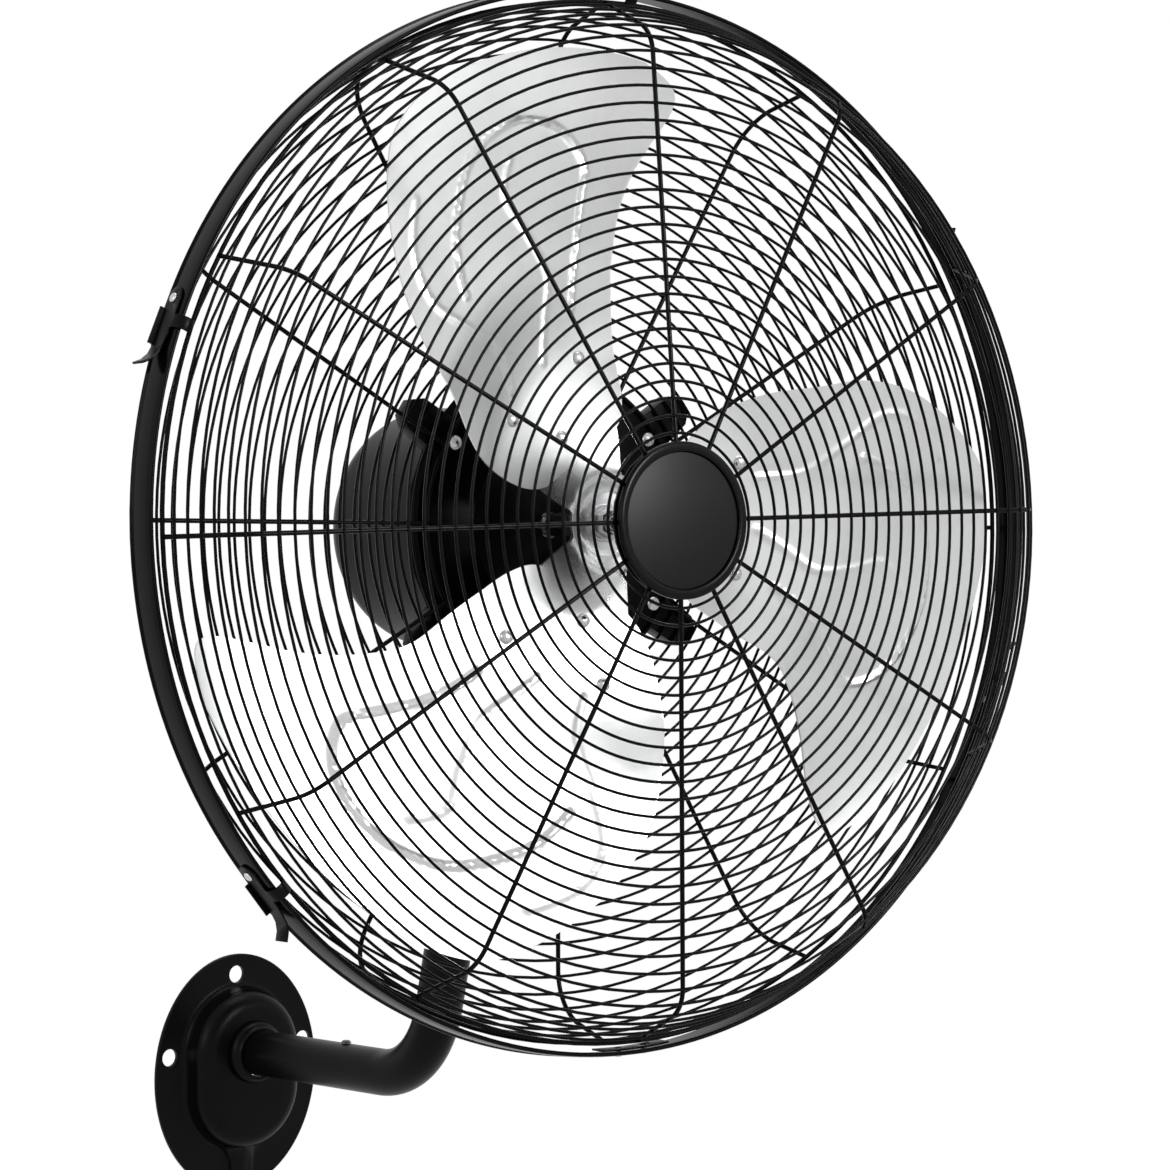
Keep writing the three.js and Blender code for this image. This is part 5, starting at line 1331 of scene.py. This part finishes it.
@dataclass
class BladeSet:
    """Three twisted blades with pressed ribs, their rivets, and the spider that carries them."""

    azimuths: tuple[float, ...] = (1.5, 121.5, 241.5)
    sheet: float = 1.6
    rows: int = 150
    columns: int = 112
    waist: float = 31.0
    rib: tuple[float, float] = (3.4, 2.6)
    crease: tuple[float, float] = (3.6, 1.3)
    root: float = 47.0
    tip: float = 298.0
    level: float = -5.0
    dish: float = 16.5
    twist: float = 0.29
    hub: float = 16.0
    hub_level: float = -15.0
    arm: float = 113.0
    spider_sheet: float = 2.5
    spider_columns: int = 240

    def forward(self, radius: np.ndarray, offset: np.ndarray) -> np.ndarray:
        """The blade's middle surface.

        Args:
            radius: distance from the axis in millimetres.
            offset: degrees from the blade's centre line.

        Returns:
            The forward places.
        """
        span = (radius - 205) / 105
        twist = np.maximum(0, self.twist - 0.12 * span * span)
        dish = self.dish * smooth_step((radius - 100) / 80)
        return self.level + dish + twist * radius * np.radians(offset)

    def relief(self, radius: np.ndarray, offset: np.ndarray) -> np.ndarray:
        """Height of the pressed ribs.

        Args:
            radius: distance from the axis in millimetres.
            offset: degrees from the blade's centre line.

        Returns:
            The heights in millimetres.
        """
        x = radius * np.cos(np.radians(offset))
        y = radius * np.sin(np.radians(offset))
        total = np.zeros_like(x)
        lines = ((RIB_LOOP, self.rib), (CREASE_OUTER, self.crease), (CREASE_INNER, self.crease))
        for line, (width, height) in lines:
            curve = eased(line, 10)
            cx = curve[:, 0] * np.cos(np.radians(curve[:, 1]))
            cy = curve[:, 0] * np.sin(np.radians(curve[:, 1]))
            gap = np.hypot(x[..., None] - cx, y[..., None] - cy).min(-1)
            total = np.maximum(total, height * (1 - smooth_step(gap / width)))
        return total

    def grid(self) -> tuple[np.ndarray, np.ndarray]:
        """Radius and offset of each point between the blade's edges."""
        leading, trailing = eased(LEADING, 12), eased(TRAILING, 12)
        tip = np.linspace(self.tip - 16, self.tip, 12)
        radii = np.concatenate([np.linspace(self.root, self.tip - 18, self.rows), tip])
        radius = np.repeat(radii[:, None], self.columns, 1)
        low = np.interp(radii, trailing[:, 0], trailing[:, 1])
        high = np.interp(radii, leading[:, 0], leading[:, 1])
        share = np.linspace(0, 1, self.columns)
        offset = low[:, None] + (high - low)[:, None] * share[None, :]
        radius = np.maximum(radius, self.root / np.cos(np.radians(offset)))
        return radius, offset

    def blade(self, shop: Workshop, number: int, azimuth: float) -> None:
        """Makes one blade.

        Args:
            shop: the workshop.
            number: the blade's number.
            azimuth: its centre line's azimuth in degrees.
        """
        radius, offset = self.grid()
        height = self.forward(radius, offset) + self.relief(radius, offset)
        angle = np.radians(offset + azimuth)
        x, y = radius * np.cos(angle), radius * np.sin(angle)
        half = self.sheet / 2
        points = [np.stack([x, y, height + side * half], -1).reshape(-1, 3) for side in (1, -1)]
        count_r, count_c = radius.shape
        side = count_r * count_c
        faces = []
        for i in range(count_r - 1):
            for j in range(count_c - 1):
                a = i * count_c + j
                b, c, d = a + 1, a + count_c + 1, a + count_c
                faces.append((a, b, c, d))
                faces.append((side + a, side + d, side + c, side + b))
        edge = list(range(count_c))
        edge += [i * count_c + count_c - 1 for i in range(1, count_r)]
        edge += [(count_r - 1) * count_c + j for j in range(count_c - 2, -1, -1)]
        edge += [i * count_c for i in range(count_r - 2, 0, -1)]
        for k, a in enumerate(edge):
            b = edge[(k + 1) % len(edge)]
            faces.append((a, b, side + b, side + a))
        piece = shop.shape(f"pressed_blade_{number}", np.concatenate(points), faces, FACE, 50)
        piece = shop.bevelled(piece, 0.35, 2)
        shop.hand_over(piece, "blade_aluminium", "rotor", [f"blade_{number}"])

    def rivets(self, shop: Workshop) -> None:
        """Makes the blades' rivets."""
        places = []
        for azimuth in self.azimuths:
            for radius, offset in RIVETS:
                here = self.surface_point(radius, offset, azimuth)
                out = self.surface_point(radius + 1, offset, azimuth) - here
                round_ = self.surface_point(radius, offset + 1, azimuth) - here
                normal = out.cross(round_).normalized()
                places.append(((FACE @ here), (FACE.to_3x3() @ normal)))
        dome = domed(4.6, 2.9, 1.0) + [(4.6, 0.9), (2.4, 0.9), (2.4, -3.8), (0, -3.8)]
        template = shop.revolved("rivet", dome, WORLD, 48, 50)
        piece = shop.scatter("blade_rivet_set", template, places, "bright_steel")
        nodes = [f"blade_{i}_rivet_{j}" for i in (1, 2, 3) for j in (1, 2, 3)]
        shop.hand_over(piece, "bright_steel", "rotor", nodes)

    def surface_point(self, radius: float, offset: float, azimuth: float) -> Vector:
        """A point of the blade's middle surface in the face frame, in metres."""
        angle = math.radians(offset + azimuth)
        up = float(self.forward(np.float64(radius), np.float64(offset)))
        return Vector((radius * math.cos(angle), radius * math.sin(angle), up)) * MM

    def spider(self, shop: Workshop) -> None:
        """Makes the pressed spider with its hub."""
        turn = 360 * np.arange(self.spider_columns) / self.spider_columns
        angle = np.radians(turn + self.azimuths[0])
        offset = (turn + 60) % 120 - 60
        fall = smooth_step((np.abs(offset) - 23) / 24)
        arm = self.arm - 6 * smooth_step((np.abs(offset) / 28 - 0.6) / 0.4)
        reach = arm + (self.waist - arm) * fall
        rings = []
        for lift in (0.0, self.spider_sheet):
            side = []
            for share in np.linspace(0, 1, 30):
                radius = self.hub + (reach - self.hub) * share
                rise = (self.forward(radius, offset) - self.level) * (1 - fall)
                level = self.level + rise - 1.15
                recess = 1 - smooth_step((radius - 20) / 12)
                up = level + (self.hub_level - level) * recess - lift
                side.append(list(zip(radius * np.cos(angle), radius * np.sin(angle), up)))
            rings += side if lift == 0 else side[::-1]
        piece = shop.lofted("pressed_hub_spider", rings, FACE, 40)
        shop.hand_over(piece, "polished_aluminium", "rotor", ["hub_spider"])
        boss = [(5.3, -15.2), (19.2, -15.2), (20, -16), (20, -31), (19.2, -31.7), (5.3, -31.7)]
        hub = shop.revolved("hub_boss", boss, FACE, 64)
        shop.hand_over(hub, "polished_aluminium", "rotor")
        washer = [(5.3, -14.7), (11.6, -14.7), (12, -14.3)]
        washer += [(12, -13.4), (11.6, -13.1), (5.3, -13.1)]
        ring = shop.revolved("hub_washer_ring", washer, FACE, 64)
        shop.hand_over(ring, "bright_steel", "rotor", ["hub_washer"])
        shop.refined("hub_nut", 0.6)
        shop.refined("shaft", 0.5)

    def build(self, shop: Workshop) -> None:
        """Makes the rotor's pieces."""
        for number, azimuth in enumerate(self.azimuths, 1):
            self.blade(shop, number, azimuth)
        self.rivets(shop)
        self.spider(shop)


@dataclass
class HeadFasteners:
    """The rivets on the band and the screws that hold the rear guard."""

    joints: tuple[float, ...] = (-91.1, -87.7)
    seat: float = -10.0
    screws: tuple[float, float, float] = (0.075, 0.0535, -0.0686)

    def places(self, azimuths: Sequence[float], lift: float) -> list[tuple[Vector, Vector]]:
        """Seats on the band.

        Args:
            azimuths: where they stand, in degrees.
            lift: the seat's height over the band.

        Returns:
            Points and axes in the world frame.
        """
        seat = FACE @ Vector((0, 0, self.seat * MM))
        reach = (BAND_RADIUS + lift) * MM
        return [(seat + outward(azimuth) * reach, outward(azimuth)) for azimuth in azimuths]

    def build(self, shop: Workshop) -> None:
        """Makes the rivets and screws."""
        dome = domed(3.1, 1.6) + [(3.1, 0), (1.9, 0), (1.9, -3.4), (0, -3.4)]
        template = shop.revolved("rivet", dome, WORLD, 24)
        places = self.places(LATCH_AZIMUTHS, 1.8) + self.places(self.joints, 0.3)
        piece = shop.scatter("band_rivet_set", template, places, "bright_steel")
        nodes = [f"latch_rivet_{i}" for i in range(1, 6)] + ["joint_rivet_1", "joint_rivet_2"]
        shop.hand_over(piece, "bright_steel", "head", nodes)
        head = [(0, 2.4), (1.2, 2.4), (1.4, 3.0)] + domed(5.0, 3.0)[3:]
        head += [(5.0, 0), (2.3, 0), (2.3, -9), (0, -9)]
        template = shop.revolved("screw", head, WORLD, 28)
        across, up, depth = self.screws
        seats = [(x * across, y * up, depth) for x, y in SIDE_MARKS]
        axis = FACE.to_3x3() @ Vector((0, 0, 1))
        rows = [(FACE @ Vector(seat), axis) for seat in seats]
        screws = shop.scatter("guard_screw_set", template, rows, "bright_steel")
        nodes = [f"guard_screw_{i}" for i in range(1, 5)]
        shop.hand_over(screws, "bright_steel", "head", nodes)


# ---- Studio ------------------------------------------------------------------------------------


# The lamps: name, place and side in metres, and power in watts.
LAMPS = (
    ("front_box", (0.35, -3.3, 1.5), 1.7, 36.0),
    ("left_box", (-3.0, -0.6, 1.3), 1.4, 20.0),
    ("top_box", (0.6, -0.4, 3.2), 1.6, 22.0),
    ("right_box", (1.7, -2.3, 1.05), 0.9, 2.2),
    ("badge_box", (0.62, -2.4, 0.86), 0.42, 22.0),
)


@dataclass
class Studio:
    """The camera, the lamps, the floor and the surroundings.

    Attributes:
        eye: the camera's place in metres.
        yaw: its turn from +Y towards +X in degrees.
        pitch: its rise in degrees.
        lens: focal length in millimetres on a 36 mm sensor.
        floor: the floor's height in metres.
        reach: half the floor's side in metres.
        glow: the white light's share in what the floor shows near the object.
        fade: how far from its middle the floor starts to turn fully white.
        middle: the point that the lamps look at.
    """

    eye: Point = (-1.5179, -2.2064, 0.4988)
    yaw: float = 39.953
    pitch: float = -3.507
    lens: float = 114.477
    floor: float = -0.42
    reach: float = 14.0
    glow: float = 0.82
    fade: float = 0.75
    middle: Point = (0.0, -0.42, 0.38)

    def camera(self) -> None:
        """Makes the camera at the photograph's angle."""
        data = bpy.data.cameras.new("camera")
        data.lens = self.lens
        data.sensor_width = 36.0
        data.clip_end = 50.0
        made = bpy.data.objects.new("camera", data)
        made.location = self.eye
        made.rotation_euler = (math.radians(90 + self.pitch), 0, math.radians(-self.yaw))
        bpy.context.scene.collection.objects.link(made)
        bpy.context.scene.camera = made

    def lamp(self, name: str, place: Point, target: Point, size: float, power: float) -> None:
        """Adds a soft square lamp.

        Args:
            name: the lamp's name.
            place: where it stands.
            target: what it points at.
            size: its side in metres.
            power: its power in watts.
        """
        data = bpy.data.lights.new(name, "AREA")
        data.size = size
        data.energy = power
        made = bpy.data.objects.new(name, data)
        made.location = place
        aim = Vector(target) - Vector(place)
        made.rotation_euler = aim.to_track_quat("-Z", "Y").to_euler()
        bpy.context.scene.collection.objects.link(made)

    def world(self) -> None:
        """Makes the surroundings: white to the camera and in reflections, plain soft light."""
        world = bpy.data.worlds.new("surroundings")
        bpy.context.scene.world = world
        tree = ShaderTree(world)
        path = tree.node("ShaderNodeLightPath", {}, {}).outputs
        seen = Value(tree, path["Is Camera Ray"]) + Value(tree, path["Is Glossy Ray"])
        seen = (seen + Value(tree, path["Is Transmission Ray"])).clipped()
        strength = 0.6 + seen * 0.4
        sky = tree.node(
            "ShaderNodeBackground", {}, {"Color": (1, 1, 1, 1), "Strength": strength}
        )
        tree.node("ShaderNodeOutputWorld", {}, {0: sky.outputs[0]})

    def ground(self) -> None:
        """Lays the pale floor, which keeps the object's shadow."""
        mesh = bpy.data.meshes.new("floor")
        size = self.reach
        corners = [(-size, -size), (size, -size), (size, size), (-size, size)]
        mesh.from_pydata([(x, y, self.floor) for x, y in corners], [], [(0, 1, 2, 3)])
        floor = bpy.data.objects.new("floor", mesh)
        bpy.context.scene.collection.objects.link(floor)
        pale = bpy.data.materials.new("pale_floor")
        tree = ShaderTree(pale)
        path = tree.node("ShaderNodeLightPath", {}, {}).outputs
        seen = Value(tree, path["Is Camera Ray"]) + Value(tree, path["Is Glossy Ray"])
        matt = tree.node(
            "ShaderNodeBsdfDiffuse", {}, {"Color": (0.9, 0.9, 0.9, 1), "Roughness": 0.5}
        )
        glow = tree.node("ShaderNodeEmission", {}, {"Color": (1, 1, 1, 1), "Strength": 1.0})
        place = tree.node("ShaderNodeTexCoord", {}, {}).outputs["Object"]
        reach = tree.node("ShaderNodeVectorMath", {"operation": "LENGTH"}, {0: place})
        far = ((Value(tree, reach.outputs["Value"]) - self.fade) * 1.1).clipped()
        share = seen.clipped() * (self.glow + far * (1 - self.glow))
        mixed = tree.node(
            "ShaderNodeMixShader", {}, {0: share, 1: matt.outputs[0], 2: glow.outputs[0]}
        )
        tree.node("ShaderNodeOutputMaterial", {}, {0: mixed.outputs[0]})
        mesh.materials.append(pale)
        floor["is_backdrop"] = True

    def build(self) -> None:
        """Sets up the studio."""
        self.camera()
        for name, place, size, power in LAMPS:
            self.lamp(name, place, self.middle, size, power)
        self.world()
        self.ground()
        bpy.context.scene.view_settings.view_transform = "Standard"


def main() -> None:
    """Builds every piece in order."""
    shop = Workshop()
    for part in (WallPlate(), Arm(), Swivel(), Motor(), WireGuards(), Band(), Badge()):
        part.build(shop)
    BladeSet().build(shop)
    HeadFasteners().build(shop)
    shop.dress_rest()
    Studio().build()


if __name__ == "__main__":
    main()
    [[list(corner) for corner in box] for box in (CAD_BOX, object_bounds())]
